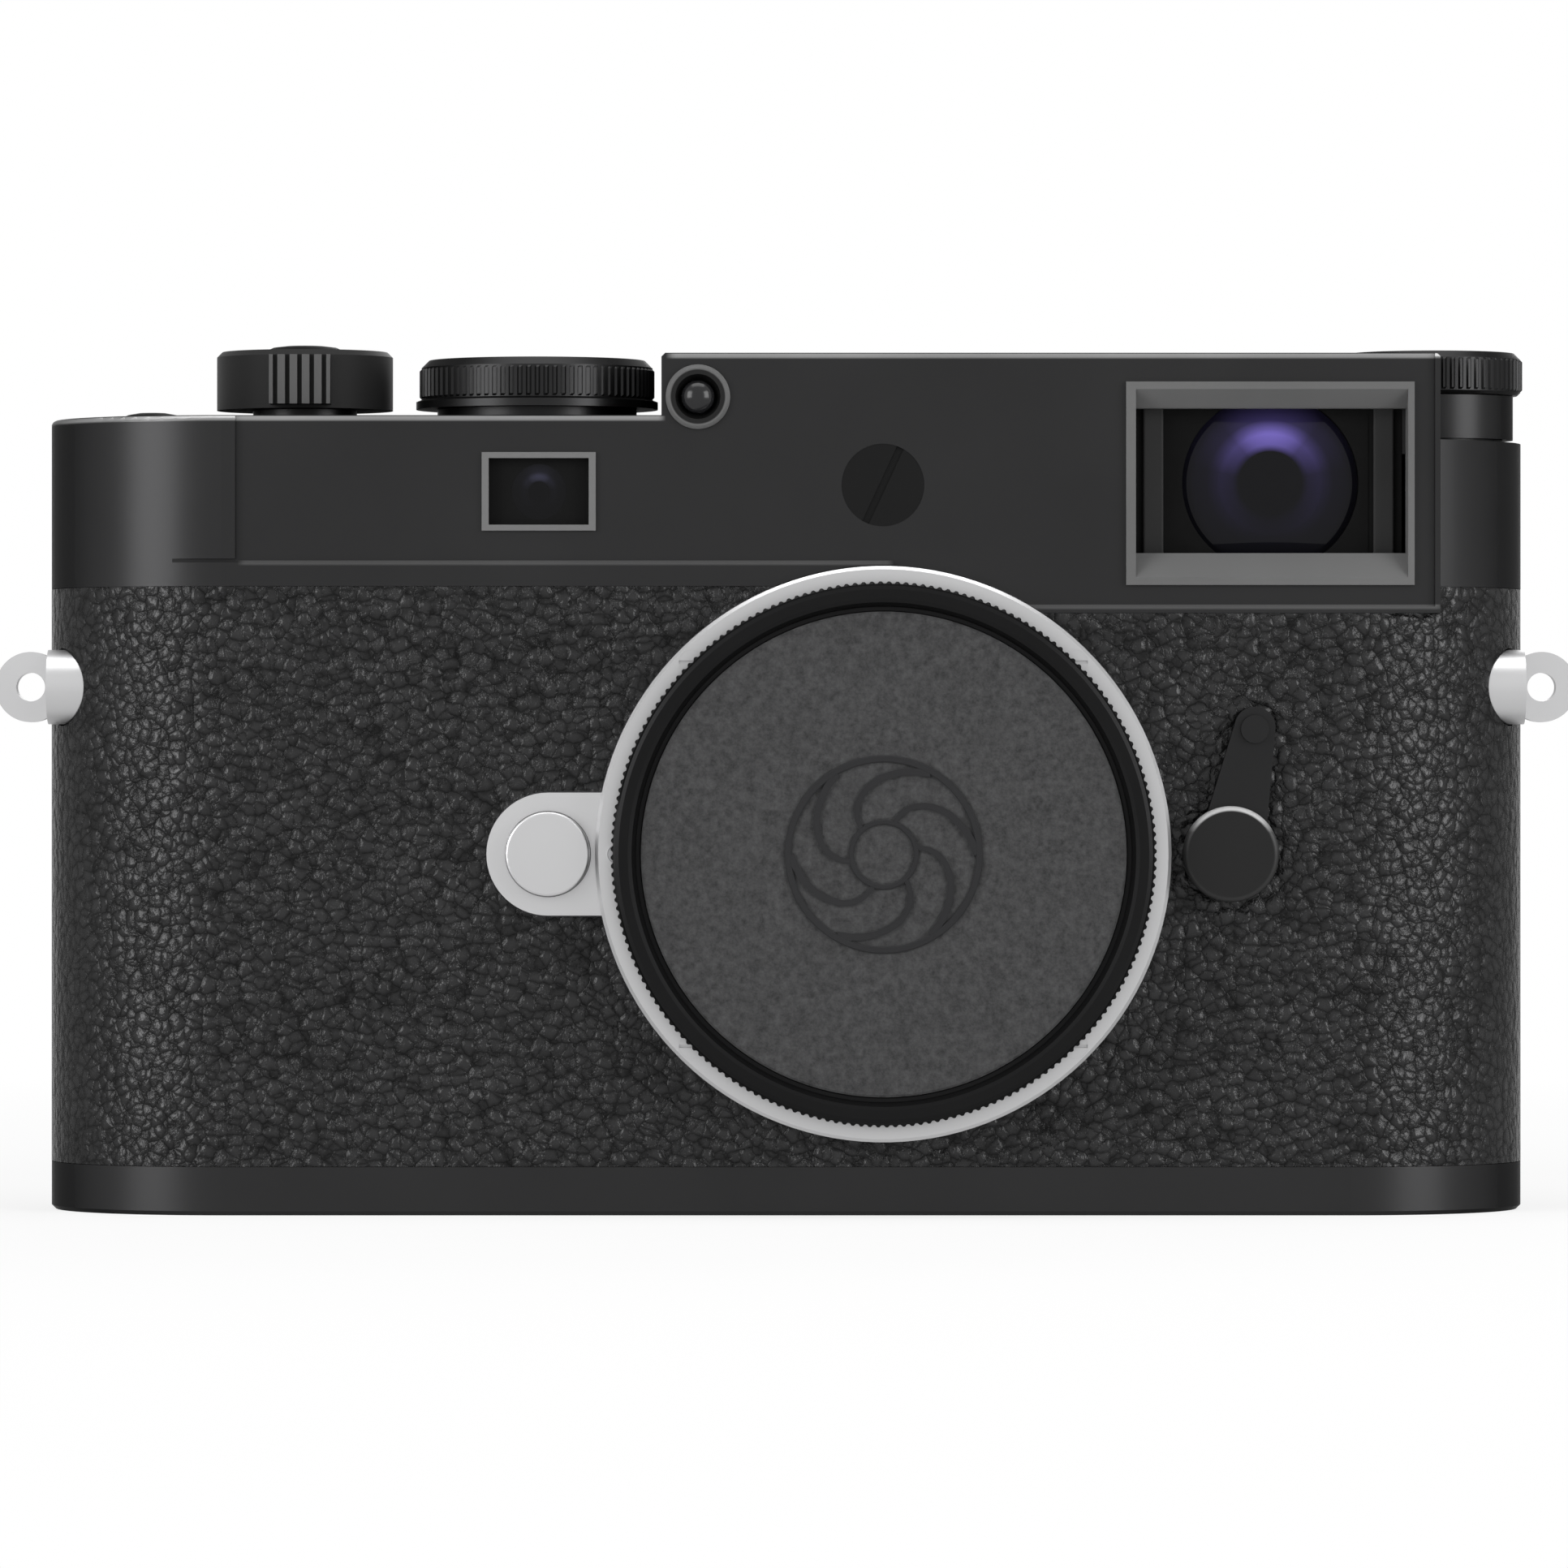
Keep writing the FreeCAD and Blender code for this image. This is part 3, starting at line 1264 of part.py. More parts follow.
for index, (across, deep) in enumerate(BASE_SCREWS):
    at = (across * (HALF + 7.0), deep * 11.0, 0.05)
    whole = union(
        f"base_screw_{index}",
        screw(f"base_screw_{index}", "up", at, s.screw_head, 0.85, s.screw_shank, 3.0),
    )
    slot = block(
        f"base_slot_{index}", (at[0] - 1.2, at[0] + 1.2), (at[1] - 0.15, at[1] + 0.15), (-1, 0.4)
    )
    base_screws.append(minus(f"base_screw_cut_{index}", whole, slot))
keep("base_screws", union("base_screws_group", base_screws))

# Strap lugs: an eye on the end of a post
for label, side, facing in LUG_SIDES:
    lug = Solid(label)
    eye_x = side * s.lug_x
    flat = (s.lug_y - s.lug_thick / 2, s.lug_y + s.lug_thick / 2)
    post = (HALF + 12.2, s.lug_x - 1.6) if side > 0 else (-(s.lug_x - 1.6), -(HALF + 12.2))
    lug.pad("X", post[0], post[1], circle(s.lug_y, s.lug_z, s.lug_post))
    lug.pad("Y", flat[0], flat[1], circle(eye_x, s.lug_z, s.lug_eye))
    lug.pocket("Y", s.lug_y - 5, s.lug_y + 5, circle(eye_x, s.lug_z, s.lug_hole))
    keep(label, lug)

# Light path: baffle, shutter with its blades, sensor
baffle = Solid("light_baffle", "front", (s.lens_x, SHUTTER_FRONT, LENS_Z))
BAFFLE_LONG = SHUTTER_FRONT + SHELL_IN
outer = rect(-s.baffle_half_width, s.baffle_half_width, -s.baffle_half_height, s.baffle_half_height)
inner_w = s.baffle_half_width - s.baffle_wall
inner_h = s.baffle_half_height - s.baffle_wall
baffle.pad("Z", 0, BAFFLE_LONG, outer)
baffle.pocket("Z", 0, BAFFLE_LONG, rect(-inner_w, inner_w, -inner_h, inner_h))
keep("light_baffle", baffle)

gate_foot = LENS_Z - s.gate_half_height
BLADE_STEP = s.blade_height - s.blade_overlap
blade_low = gate_foot - 0.9
frame = Solid("shutter_frame")
SHUTTER_BACK = SHUTTER_FRONT + s.shutter_depth
frame_foot = blade_low - s.blade_height - 2.0
frame_head = blade_low + BLADE_STEP * 2 + s.blade_height + 2.0
frame_half = s.gate_half_width + 6.5
frame.pad(
    "Y",
    SHUTTER_FRONT,
    SHUTTER_BACK,
    rect(s.lens_x - frame_half, s.lens_x + frame_half, frame_foot, frame_head),
)
gate = rect(
    s.lens_x - s.gate_half_width, s.lens_x + s.gate_half_width, gate_foot, LENS_Z + s.gate_half_height
)
frame.pocket("Y", SHUTTER_FRONT, SHUTTER_BACK, gate)
cavity_half = s.gate_half_width + 3.5
cavity = rect(s.lens_x - cavity_half, s.lens_x + cavity_half, frame_foot + 1, frame_head - 1)
CAVITY = (SHUTTER_FRONT + 0.7, SHUTTER_BACK - 0.7)
frame.pocket("Y", CAVITY[0], CAVITY[1], cavity)
keep("shutter_frame", frame)
for index in range(3):
    label = f"shutter_blade_{index + 1}"
    foot_z = blade_low + BLADE_STEP * index
    front_y = CAVITY[0] + 0.25 + s.blade_pitch * index
    blade_half = cavity_half - 0.3
    keep(
        label,
        block(
            label,
            (s.lens_x - blade_half, s.lens_x + blade_half),
            (front_y, front_y + s.blade_thick),
            (foot_z, foot_z + s.blade_height),
        ),
    )

sensor_glass = Solid("sensor_package")
sensor_glass.pad(
    "Y",
    SENSOR_Y,
    SENSOR_Y + s.sensor_thick,
    rect(s.lens_x - 21, s.lens_x + 21, LENS_Z - 15, LENS_Z + 15),
)
sensor_board = Solid("sensor_board")
BOARD_Y = SENSOR_Y + s.sensor_thick
sensor_board.pad(
    "Y", BOARD_Y, BOARD_Y + s.board_thick, rect(s.lens_x - 25, s.lens_x + 25, LENS_Z - 17, LENS_Z + 17)
)
keep("image_sensor", union("sensor_on_its_board", [sensor_glass.body, sensor_board.body]))

# Rangefinder coupling: a rocking arm with a roller in the top of the throat
coupler = Solid("range_arm")
coupler.pad(
    "X",
    s.lens_x - 0.8,
    s.lens_x + 0.8,
    outline(
        (ROLLER_Y - 0.9, s.roller_z + 2.3),
        (ROLLER_Y + 1.4, s.roller_z + 2.3),
        (ARM_Y + 2.2, s.arm_pivot_z - 1),
        (ARM_Y + 1.4, s.arm_pivot_z + 6),
        (ARM_Y - 0.8, s.arm_pivot_z + 6),
        (ARM_Y - 2.2, s.arm_pivot_z - 1),
    ),
)
coupler.pad("Z", s.roller_z + 1.2, s.roller_z + 2.6, circle(s.lens_x, ROLLER_Y, 1.6))
coupler.pad("Z", s.roller_z - 1.0, s.roller_z + 1.3, circle(s.lens_x, ROLLER_Y, 0.7))
coupler.pad("X", s.lens_x - 3.0, s.lens_x + 3.0, circle(ARM_Y, s.arm_pivot_z, 0.9 - s.running))
keep("range_arm", coupler)
roller = Solid("range_roller", "up", (s.lens_x, ROLLER_Y, s.roller_z))
roller.pad("Z", -0.9, 0.9, circle(0, 0, s.roller_radius))
roller.pocket("Z", -1, 1, circle(0, 0, 0.7 + s.running))
keep("range_roller", roller)


# Check every step, then write one file per sub-part
doc.recompute()
for thing in doc.Objects:
    if {"Invalid", "Error"} & set(thing.State):
        raise RuntimeError(f"{thing.Label} is {thing.State}")
os.makedirs("parts", exist_ok=True)
for node in NODES:
    shape = node.Shape
    if shape.isNull() or not shape.isValid() or not shape.Solids:
        raise RuntimeError(f"{node.Label} has no valid solid")
    shape.exportStep(f"parts/{node.Label}.step")
    print(f"{node.Label}: {len(shape.Solids)} solid, {shape.Volume:.0f} cubic mm")
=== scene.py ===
"""Finishes, knurling, markings, light and viewpoint for the rangefinder camera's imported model."""

import json
import math
from functools import cached_property

import bmesh
import bpy
from mathutils import Matrix, Vector


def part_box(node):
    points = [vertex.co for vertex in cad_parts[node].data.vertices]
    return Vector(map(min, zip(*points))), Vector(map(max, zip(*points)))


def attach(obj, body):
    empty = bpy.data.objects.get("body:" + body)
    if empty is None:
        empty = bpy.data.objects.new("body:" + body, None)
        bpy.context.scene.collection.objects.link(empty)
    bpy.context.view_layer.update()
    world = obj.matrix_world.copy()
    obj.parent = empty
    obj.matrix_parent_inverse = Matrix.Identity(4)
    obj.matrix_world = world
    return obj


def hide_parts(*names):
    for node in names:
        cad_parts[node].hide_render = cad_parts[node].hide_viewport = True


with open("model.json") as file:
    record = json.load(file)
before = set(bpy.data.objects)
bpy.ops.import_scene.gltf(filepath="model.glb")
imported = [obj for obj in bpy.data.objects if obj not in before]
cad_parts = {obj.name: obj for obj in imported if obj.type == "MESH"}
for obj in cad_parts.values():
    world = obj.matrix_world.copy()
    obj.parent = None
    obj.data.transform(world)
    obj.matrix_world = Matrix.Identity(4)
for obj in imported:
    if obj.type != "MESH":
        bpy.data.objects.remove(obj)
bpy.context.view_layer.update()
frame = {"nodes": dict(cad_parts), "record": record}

MM = 0.001
NODES = frame["nodes"]
scene = bpy.context.scene
scene.view_settings.view_transform = "Standard"


def middle(node):
    low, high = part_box(node)
    return (low + high) / 2


# Shader building ------------------------------------------------------------------------------


class Wire:
    """A shader socket that can be used in arithmetic."""

    def __init__(self, finish, socket):
        self.finish = finish
        self.socket = socket

    def beside(self, name):
        """Another output of the same node."""
        return Wire(self.finish, self.socket.node.outputs[name])

    def sum_up(self, operation, *values):
        return self.finish.node("ShaderNodeMath", {"operation": operation}, dict(enumerate(values)))

    def __add__(self, other):
        return self.sum_up("ADD", self, other)

    def __sub__(self, other):
        return self.sum_up("SUBTRACT", self, other)

    def __rsub__(self, other):
        return self.sum_up("SUBTRACT", other, self)

    def __mul__(self, other):
        return self.sum_up("MULTIPLY", self, other)

    def __truediv__(self, other):
        return self.sum_up("DIVIDE", self, other)

    __radd__ = __add__
    __rmul__ = __mul__

    def root(self):
        return self.sum_up("SQRT", self)

    def larger(self, other):
        return self.sum_up("MAXIMUM", self, other)


class Finish:
    """The shader tree of one material or of the world. Noise scales are features per metre."""

    def __init__(self, owner):
        owner.use_nodes = True
        self.owner = owner
        self.tree = owner.node_tree
        self.tree.nodes.clear()

    def node(self, kind, settings, inputs, out=0):
        """One node: its settings are made first, because they can change which inputs it has."""
        made = self.tree.nodes.new(kind)
        for key, value in settings.items():
            setattr(made, key, value)
        for key, value in inputs.items():
            socket = made.inputs[key]
            if isinstance(value, Wire):
                self.tree.links.new(value.socket, socket)
            elif socket.type == "RGBA":
                socket.default_value = (*value, 1.0)
            else:
                socket.default_value = value
        return Wire(self, made.outputs[out]) if made.outputs else None

    @cached_property
    def place(self):
        """Where a point is, in metres on the object's own frame."""
        return self.node("ShaderNodeTexCoord", {}, {}, "Object")

    def axes(self):
        x = self.node("ShaderNodeSeparateXYZ", {}, {0: self.place}, "X")
        return x, x.beside("Y"), x.beside("Z")

    def from_middle(self, node, reach):
        """How far up and how far out a point is from a node's middle, as shares of the reach."""
        x, _, z = self.axes()
        mid = middle(node)
        across = (x - mid.x) / reach
        up = (z - mid.z) / reach
        return up, (across * across + up * up).root()

    def noise(self, scale, detail=2.0, roughness=0.5, out=0):
        inputs = {"Vector": self.place, "Scale": scale, "Detail": detail, "Roughness": roughness}
        return self.node("ShaderNodeTexNoise", {}, inputs, out)

    def cells(self, scale, feature="F1", place=None):
        inputs = {"Vector": place or self.place, "Scale": scale}
        return self.node("ShaderNodeTexVoronoi", {"feature": feature}, inputs, "Distance")

    def ramp(self, value, *stops):
        """A curve through stops of (value, result)."""
        made = self.node("ShaderNodeValToRGB", {}, {0: value})
        elements = made.socket.node.color_ramp.elements
        while len(elements) < len(stops):
            elements.new(0.5)
        for element, (position, result) in zip(elements, stops):
            element.position = position
            element.color = (result, result, result, 1.0)
        return made

    def blend(self, amount, first, second):
        """A colour between two, by an amount from 0 to 1."""
        inputs = {0: amount, 6: first, 7: second}
        return self.node("ShaderNodeMix", {"data_type": "RGBA"}, inputs, 2)

    def bump(self, height, depth, strength):
        inputs = {"Height": height, "Distance": depth, "Strength": strength}
        return self.node("ShaderNodeBump", {}, inputs)

    def paint_grain(self):
        """The very fine, even grain of black paint, and the bump it makes."""
        fine = self.noise(9000.0, 3.0)
        return fine, self.bump(fine, 0.006 * MM, 0.6)

    def seen_directly(self):
        """1 for camera, glossy and transmission rays, 0 for the rest."""
        camera = self.node("ShaderNodeLightPath", {}, {}, "Is Camera Ray")
        glossy = camera.beside("Is Glossy Ray")
        return camera.larger(glossy).larger(camera.beside("Is Transmission Ray"))

    def finish(self, base, roughness, normal=None, **fixed):
        inputs = {"Base Color": base, "Roughness": roughness}
        if normal:
            inputs["Normal"] = normal
        inputs.update({key.replace("_", " "): value for key, value in fixed.items()})
        surface = self.node("ShaderNodeBsdfPrincipled", {}, inputs)
        self.node("ShaderNodeOutputMaterial", {}, {0: surface})
        return self.owner


def new_finish(name):
    return Finish(bpy.data.materials.new(name))


def grey(level):
    return (level, level, level)


# Finishes -------------------------------------------------------------------------------------

EDGE_TINT = grey(0.12)
BLACK_CHROME = 0.85


def chrome_paint(f, tone, mottle, roughness, metallic):
    """Baked paint or black chrome over a tone, with a little unevenness in its sheen."""
    fine, grain_bump = f.paint_grain()
    sheen = roughness - 0.05 + mottle * 0.08 + fine * 0.04
    return f.finish(
        tone, sheen, grain_bump, Metallic=metallic, Specular_IOR_Level=0.22, Specular_Tint=EDGE_TINT
    )


def satin_black(name, dark, light, roughness, metallic=0.0):
    f = new_finish(name)
    mottle = f.noise(60.0, 3.0)
    return chrome_paint(f, f.blend(mottle, dark, light), mottle, roughness, metallic)


def cover_with_painted_edge_highlights(name, dark, light, highlight_tone, roughness, edges):
    """Black chrome with painted highlights: thin lighter bands along the edges where light from
    above falls.

    Each band has its top height, its left and right ends, its strength, and whether it runs on
    round to the back.
    """
    f = new_finish(name)
    x, y, z = f.axes()
    mottle = f.noise(60.0, 3.0)
    front = f.ramp(0.5 - y / (20 * MM), (0.0, 0.0), (0.49, 0.0), (0.51, 1.0))
    painted_highlight = 0.0
    for height, left, right, strength, all_round in edges:
        below = (height * MM - z) / (0.6 * MM)
        fading = 0.8 * strength
        band = f.ramp(below, (0.0, 0.0), (0.08, 0.0), (0.18, strength), (0.65, fading), (0.98, 0.0))
        along = (x - left * MM) / ((right - left) * MM)
        span = f.ramp(along, (0.0, 0.0), (0.01, 1.0), (0.99, 1.0), (1.0, 0.0))
        painted_highlight = band * (span if all_round else span * front) + painted_highlight
    # The lighter bands laid over the tone are painted highlights on the lit edges.
    tone = f.blend(painted_highlight * (0.75 + mottle * 0.4), f.blend(mottle, dark, light), highlight_tone)
    return chrome_paint(f, tone, mottle, roughness, BLACK_CHROME)


def framed_black(name, node, rim, deep, depth):
    """A light front face on a part whose walls are dull black from a depth in mm inwards."""
    f = new_finish(name)
    _, y, _ = f.axes()
    fine, grain_bump = f.paint_grain()
    behind = (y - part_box(node)[0].y) / (depth * MM)
    inside = f.ramp(behind, (0.0, 0.0), (0.55, 0.0), (0.8, 1.0))
    tone = f.blend(inside, rim, deep)
    return f.finish(tone, 0.5 + fine * 0.06, grain_bump, Specular_IOR_Level=0.1)


def ringed_black(name, node, inner, outer, rim, deep, highlight_crest=0.0):
    """Black with one light circle, between two radii in mm. Given a crest, only its upper part
    stays, as a painted highlight where light from above falls on the rim.
    """
    f = new_finish(name)
    up, radius = f.from_middle(node, outer * MM)
    start = inner / outer
    ring = f.ramp(radius, (0.0, 0.0), (start - 0.04, 0.0), (start, 1.0), (1.0, 0.8))
    # The crest leaves a painted highlight on the top of the circle only.
    if highlight_crest:
        ring = ring * f.ramp(up, (0.0, 0.03), (highlight_crest, 0.1), (highlight_crest + 0.3, 1.0))
    fine, grain_bump = f.paint_grain()
    tone = f.blend(ring, deep, rim)
    return f.finish(tone, 0.42 + fine * 0.06, grain_bump, Specular_IOR_Level=0.2)


def pebbled_leather():
    f = new_finish("pebbled_leather")
    warp = f.noise(520.0, 3.0, out="Color")
    stretch = {"operation": "MULTIPLY_ADD"}
    shifted = f.node("ShaderNodeVectorMath", stretch, {0: warp, 1: grey(1.2 * MM), 2: f.place})
    pebble = f.cells(900.0, "SMOOTH_F1", shifted)
    small = f.cells(1800.0, "SMOOTH_F1", shifted)
    crease = f.cells(900.0, "DISTANCE_TO_EDGE", shifted)
    fine = f.noise(9000.0, 3.0)
    patches = f.noise(160.0, 3.0)
    wrinkle = f.noise(900.0, 4.0, 0.6)
    valley = f.ramp(crease, (0.0, 0.0), (0.06, 0.4), (0.2, 0.9), (0.4, 1.0))
    dome = f.ramp(pebble, (0.0, 1.0), (0.3, 0.75), (0.75, 0.0))
    grit = f.ramp(small, (0.0, 1.0), (0.7, 0.0))
    fold = f.ramp(wrinkle, (0.32, 0.0), (0.48, 0.7), (0.68, 1.0))
    height = dome * 0.9 + valley * 0.25 + fold * 0.5 + grit * 0.16 + fine * 0.04
    # The colour is darker in the creases as painted shade and lighter on the pebble tops as painted
    # highlight. The patches vary the tone at random.
    patchy_tone_with_painted_shade_and_highlight = dome * 0.3 + valley * (0.28 + patches * 0.5)
    return f.finish(
        f.blend(patchy_tone_with_painted_shade_and_highlight, grey(0.003), (0.04, 0.04, 0.0405)),
        0.24 - valley * 0.06 + fine * 0.08,
        f.bump(height, 0.19 * MM, 1.0),
        Metallic=0.7,
        Specular_IOR_Level=0.7,
        Specular_Tint=grey(0.3),
    )


def bright_satin(name, tint, roughness):
    f = new_finish(name)
    fine = f.noise(7000.0)
    mottle = f.noise(90.0)
    tone = f.blend(mottle, tuple(c * 0.93 for c in tint), tint)
    sheen = roughness + mottle * 0.08 + fine * 0.05
    return f.finish(tone, sheen, f.bump(fine, 0.004 * MM, 0.5), Metallic=1.0)


def grained_plastic(name, dark, light, scale, depth, roughness):
    """Moulded grain of a scale per metre, sunk to a depth in mm."""
    f = new_finish(name)
    grain = f.noise(scale, 4.0, 0.7)
    spots = f.cells(scale * 0.7)
    height = grain * 0.7 + spots * 0.5
    tone = f.blend(f.ramp(grain, (0.3, 0.0), (0.7, 1.0)), dark, light)
    sheen = roughness + grain * 0.12
    return f.finish(tone, sheen, f.bump(height, depth * MM, 0.9), Specular_IOR_Level=0.25)


def dull_inner(name, colour, roughness=0.8, metallic=0.0, specular=0.05):
    f = new_finish(name)
    mottle = f.noise(700.0, 4.0)
    tone = f.blend(mottle, tuple(c * 0.75 for c in colour), colour)
    sheen = roughness - mottle * 0.1
    hollows = f.bump(mottle, 0.03 * MM, 0.5)
    return f.finish(tone, sheen, hollows, Metallic=metallic, Specular_IOR_Level=specular)


def glass_with_painted_reflection(name, node, reach, deep, glow):
    """Dark glass with a painted reflection of its coating: a bright crescent painted above a dark
    middle, fading out.
    """
    f = new_finish(name)
    up, radius = f.from_middle(node, reach * MM)
    painted_reflection_stops = ((0.0, 0.0), (0.36, 0.0), (0.44, 0.7), (0.56, 1.0), (0.72, 0.22), (1.0, 0.06))
    ring = f.ramp(radius, *painted_reflection_stops)
    slope = up / (radius + 0.001)
    above = f.ramp(slope * 0.5 + 0.5, (0.0, 0.01), (0.6, 0.06), (0.88, 0.3), (1.0, 1.0))
    # The crescent, strongest at the top, is a painted reflection.
    strength = ring * above
    return f.finish(f.blend(strength, deep, glow), 0.05 + strength * 0.1, Specular_IOR_Level=0.12)


def clear_pane(name, colour, roughness=0.06):
    f = new_finish(name)
    dust = f.noise(900.0, 3.0)
    tone = f.blend(dust, tuple(c * 0.8 for c in colour), colour)
    return f.finish(tone, roughness + dust * 0.04, Specular_IOR_Level=0.3)


def circuit_board():
    f = new_finish("circuit_board")
    tracks = f.cells(900.0, "DISTANCE_TO_EDGE")
    copper = f.ramp(tracks, (0.02, 1.0), (0.06, 0.0))
    tone = f.blend(copper, (0.01, 0.07, 0.03), (0.25, 0.2, 0.06))
    return f.finish(tone, 0.45 - copper * 0.1, f.bump(copper, 0.02 * MM, 1.0))


PAINT_DARK = (0.026, 0.026, 0.0265)
PAINT_LIGHT = (0.032, 0.032, 0.0325)
TRIM_DARK = (0.021, 0.021, 0.0213)
TRIM_LIGHT = (0.028, 0.028, 0.0284)
CAP_DARK = (0.014, 0.014, 0.0145)
CAP_LIGHT = (0.05, 0.05, 0.051)
KEY_DARK = (0.016, 0.016, 0.017)
KEY_LIGHT = (0.026, 0.026, 0.027)
CELL_DARK = (0.03, 0.03, 0.032)
CELL_LIGHT = (0.05, 0.05, 0.052)
# Deep tones of the finder's and range window's glass, and the colours of their painted reflections.
FINDER_DEEP = (0.004, 0.004, 0.005)
FINDER_PAINTED_REFLECTION = (0.15, 0.115, 0.42)
RANGE_DEEP = (0.003, 0.003, 0.0035)
RANGE_PAINTED_REFLECTION = (0.03, 0.03, 0.05)
FINISHES = {
    "satin_paint": satin_black("satin_paint", PAINT_DARK, PAINT_LIGHT, 0.34, BLACK_CHROME),
    "black_trim": satin_black("black_trim", TRIM_DARK, TRIM_LIGHT, 0.33, BLACK_CHROME),
    "window_frame": satin_black("window_frame", grey(0.1), grey(0.135), 0.5),
    "covering": pebbled_leather(),
    "chassis": dull_inner("chassis", (0.3, 0.3, 0.31), 0.55, 0.6, 0.5),
    "bright_metal": bright_satin("bright_metal", (0.52, 0.52, 0.525), 0.3),
    "steel": bright_satin("steel", (0.42, 0.42, 0.43), 0.32),
    "cap_plastic": grained_plastic("cap_plastic", CAP_DARK, CAP_LIGHT, 1500.0, 0.12, 0.5),
    "key_plastic": grained_plastic("key_plastic", KEY_DARK, KEY_LIGHT, 9000.0, 0.01, 0.42),
    "inner_black": dull_inner("inner_black", grey(0.006)),
    "clear_glass": clear_pane("clear_glass", (0.02, 0.022, 0.025)),
    "screen_glass": clear_pane("screen_glass", (0.006, 0.006, 0.007), 0.05),
    "screen": clear_pane("screen", (0.012, 0.012, 0.014), 0.3),
    "board": circuit_board(),
    "sensor": clear_pane("sensor", (0.03, 0.06, 0.06), 0.08),
    "battery_case": grained_plastic("battery_case", CELL_DARK, CELL_LIGHT, 5000.0, 0.02, 0.5),
    "gold_contact": bright_satin("gold_contact", (0.8, 0.58, 0.25), 0.25),
    "coated_glass": glass_with_painted_reflection("coated_glass", "finder_glass", 8.2, FINDER_DEEP, FINDER_PAINTED_REFLECTION),
}
SILVER_MARK = satin_black("silver_mark", grey(0.5), grey(0.58), 0.5)
DARK_SCREW = satin_black("dark_screw", grey(0.012), (0.016, 0.016, 0.0162), 0.4, BLACK_CHROME)
CAP_RIM_FINISH = satin_black("cap_rim", (0.009, 0.009, 0.0092), (0.013, 0.013, 0.0132), 0.36, 0.6)
WINDOW_EDGE = framed_black("range_window_edge", "range_bezel", grey(0.14), grey(0.002), 0.2)
METER_EDGE = ringed_black("meter_edge", "meter_bezel", 2.6, 3.0, grey(0.1), grey(0.004))
# The lever cap's bright upper crescent is a painted highlight.
LEVER_CAP_PAINTED_HIGHLIGHT = ringed_black("lever_cap_painted_highlight", "lever_cap", 4.12, 4.45, grey(0.45), grey(0.006), 0.45)
# The power collar's lighter front face is a painted highlight.
COLLAR_PAINTED_HIGHLIGHT = framed_black("power_collar_painted_highlight", "power_switch", grey(0.085), grey(0.011), 0.5)
# The range window's glass and the light sensor carry a faint painted reflection.
RANGE_REFLECTION_GLASS = glass_with_painted_reflection("range_window_painted_reflection", "range_glass", 2.6, RANGE_DEEP, RANGE_PAINTED_REFLECTION)

# The top cover's painted edge highlights, in mm: the housing's roof, the low shelf, and two lines
# at its foot.
cover_low, cover_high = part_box("top_cover")
SIDE = cover_low.x / MM
FOOT = cover_low.z / MM
ROOF = cover_high.z / MM
SHELF = ROOF - 5.8
STEP_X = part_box("meter_bezel")[0].x / MM
HOUSING_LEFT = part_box("front_screw")[0].x / MM + 4.85
COVER_HIGHLIGHT_BANDS = (
    (ROOF, STEP_X, -SIDE, 1.0, True),
    (SHELF, SIDE - 1, STEP_X, 1.0, True),
    (FOOT + 4.95, -51.0, HOUSING_LEFT, 0.22, False),
    (FOOT + 0.85, HOUSING_LEFT, 61.0, 0.25, False),
)
COVER_PAINT = cover_with_painted_edge_highlights("cover_paint", PAINT_DARK, PAINT_LIGHT, grey(0.3), 0.34, COVER_HIGHLIGHT_BANDS)


def dress(node, finish):
    materials = NODES[node].data.materials
    materials.clear()
    materials.append(finish)


for entry in frame["record"]["subparts"]:
    dress(entry["node"], FINISHES[entry["material_slot"]])
dress("range_glass", RANGE_REFLECTION_GLASS)
dress("meter_lens", RANGE_REFLECTION_GLASS)
dress("front_screw", DARK_SCREW)
dress("range_bezel", WINDOW_EDGE)
dress("meter_bezel", METER_EDGE)
dress("power_switch", COLLAR_PAINTED_HIGHLIGHT)
dress("lever_cap", LEVER_CAP_PAINTED_HIGHLIGHT)
dress("top_cover", COVER_PAINT)
dress("mount_screws", FINISHES["bright_metal"])


# Piece building -------------------------------------------------------------------------------


def add_piece(name, mesh, body, slot_name, finish=None):
    made = bpy.data.objects.new(name, mesh)
    scene.collection.objects.link(made)
    mesh.materials.clear()
    mesh.materials.append(finish or FINISHES[slot_name])
    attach(made, body)
    return made


TURNS = {
    "up": Matrix(),
    "front": Matrix.Rotation(math.radians(90), 4, "X"),
    "back": Matrix.Rotation(math.radians(-90), 4, "X"),
}


def placed(direction, centre):
    """A frame at a point in metres whose own Z points the given way."""
    return Matrix.Translation(Vector(centre)) @ TURNS[direction]


def mesh_from(bm, at):
    bmesh.ops.recalc_face_normals(bm, faces=bm.faces)
    bm.transform(at)
    mesh = bpy.data.meshes.new("piece")
    bm.to_mesh(mesh)
    bm.free()
    return mesh


STEPS_PER_TOOTH = 4


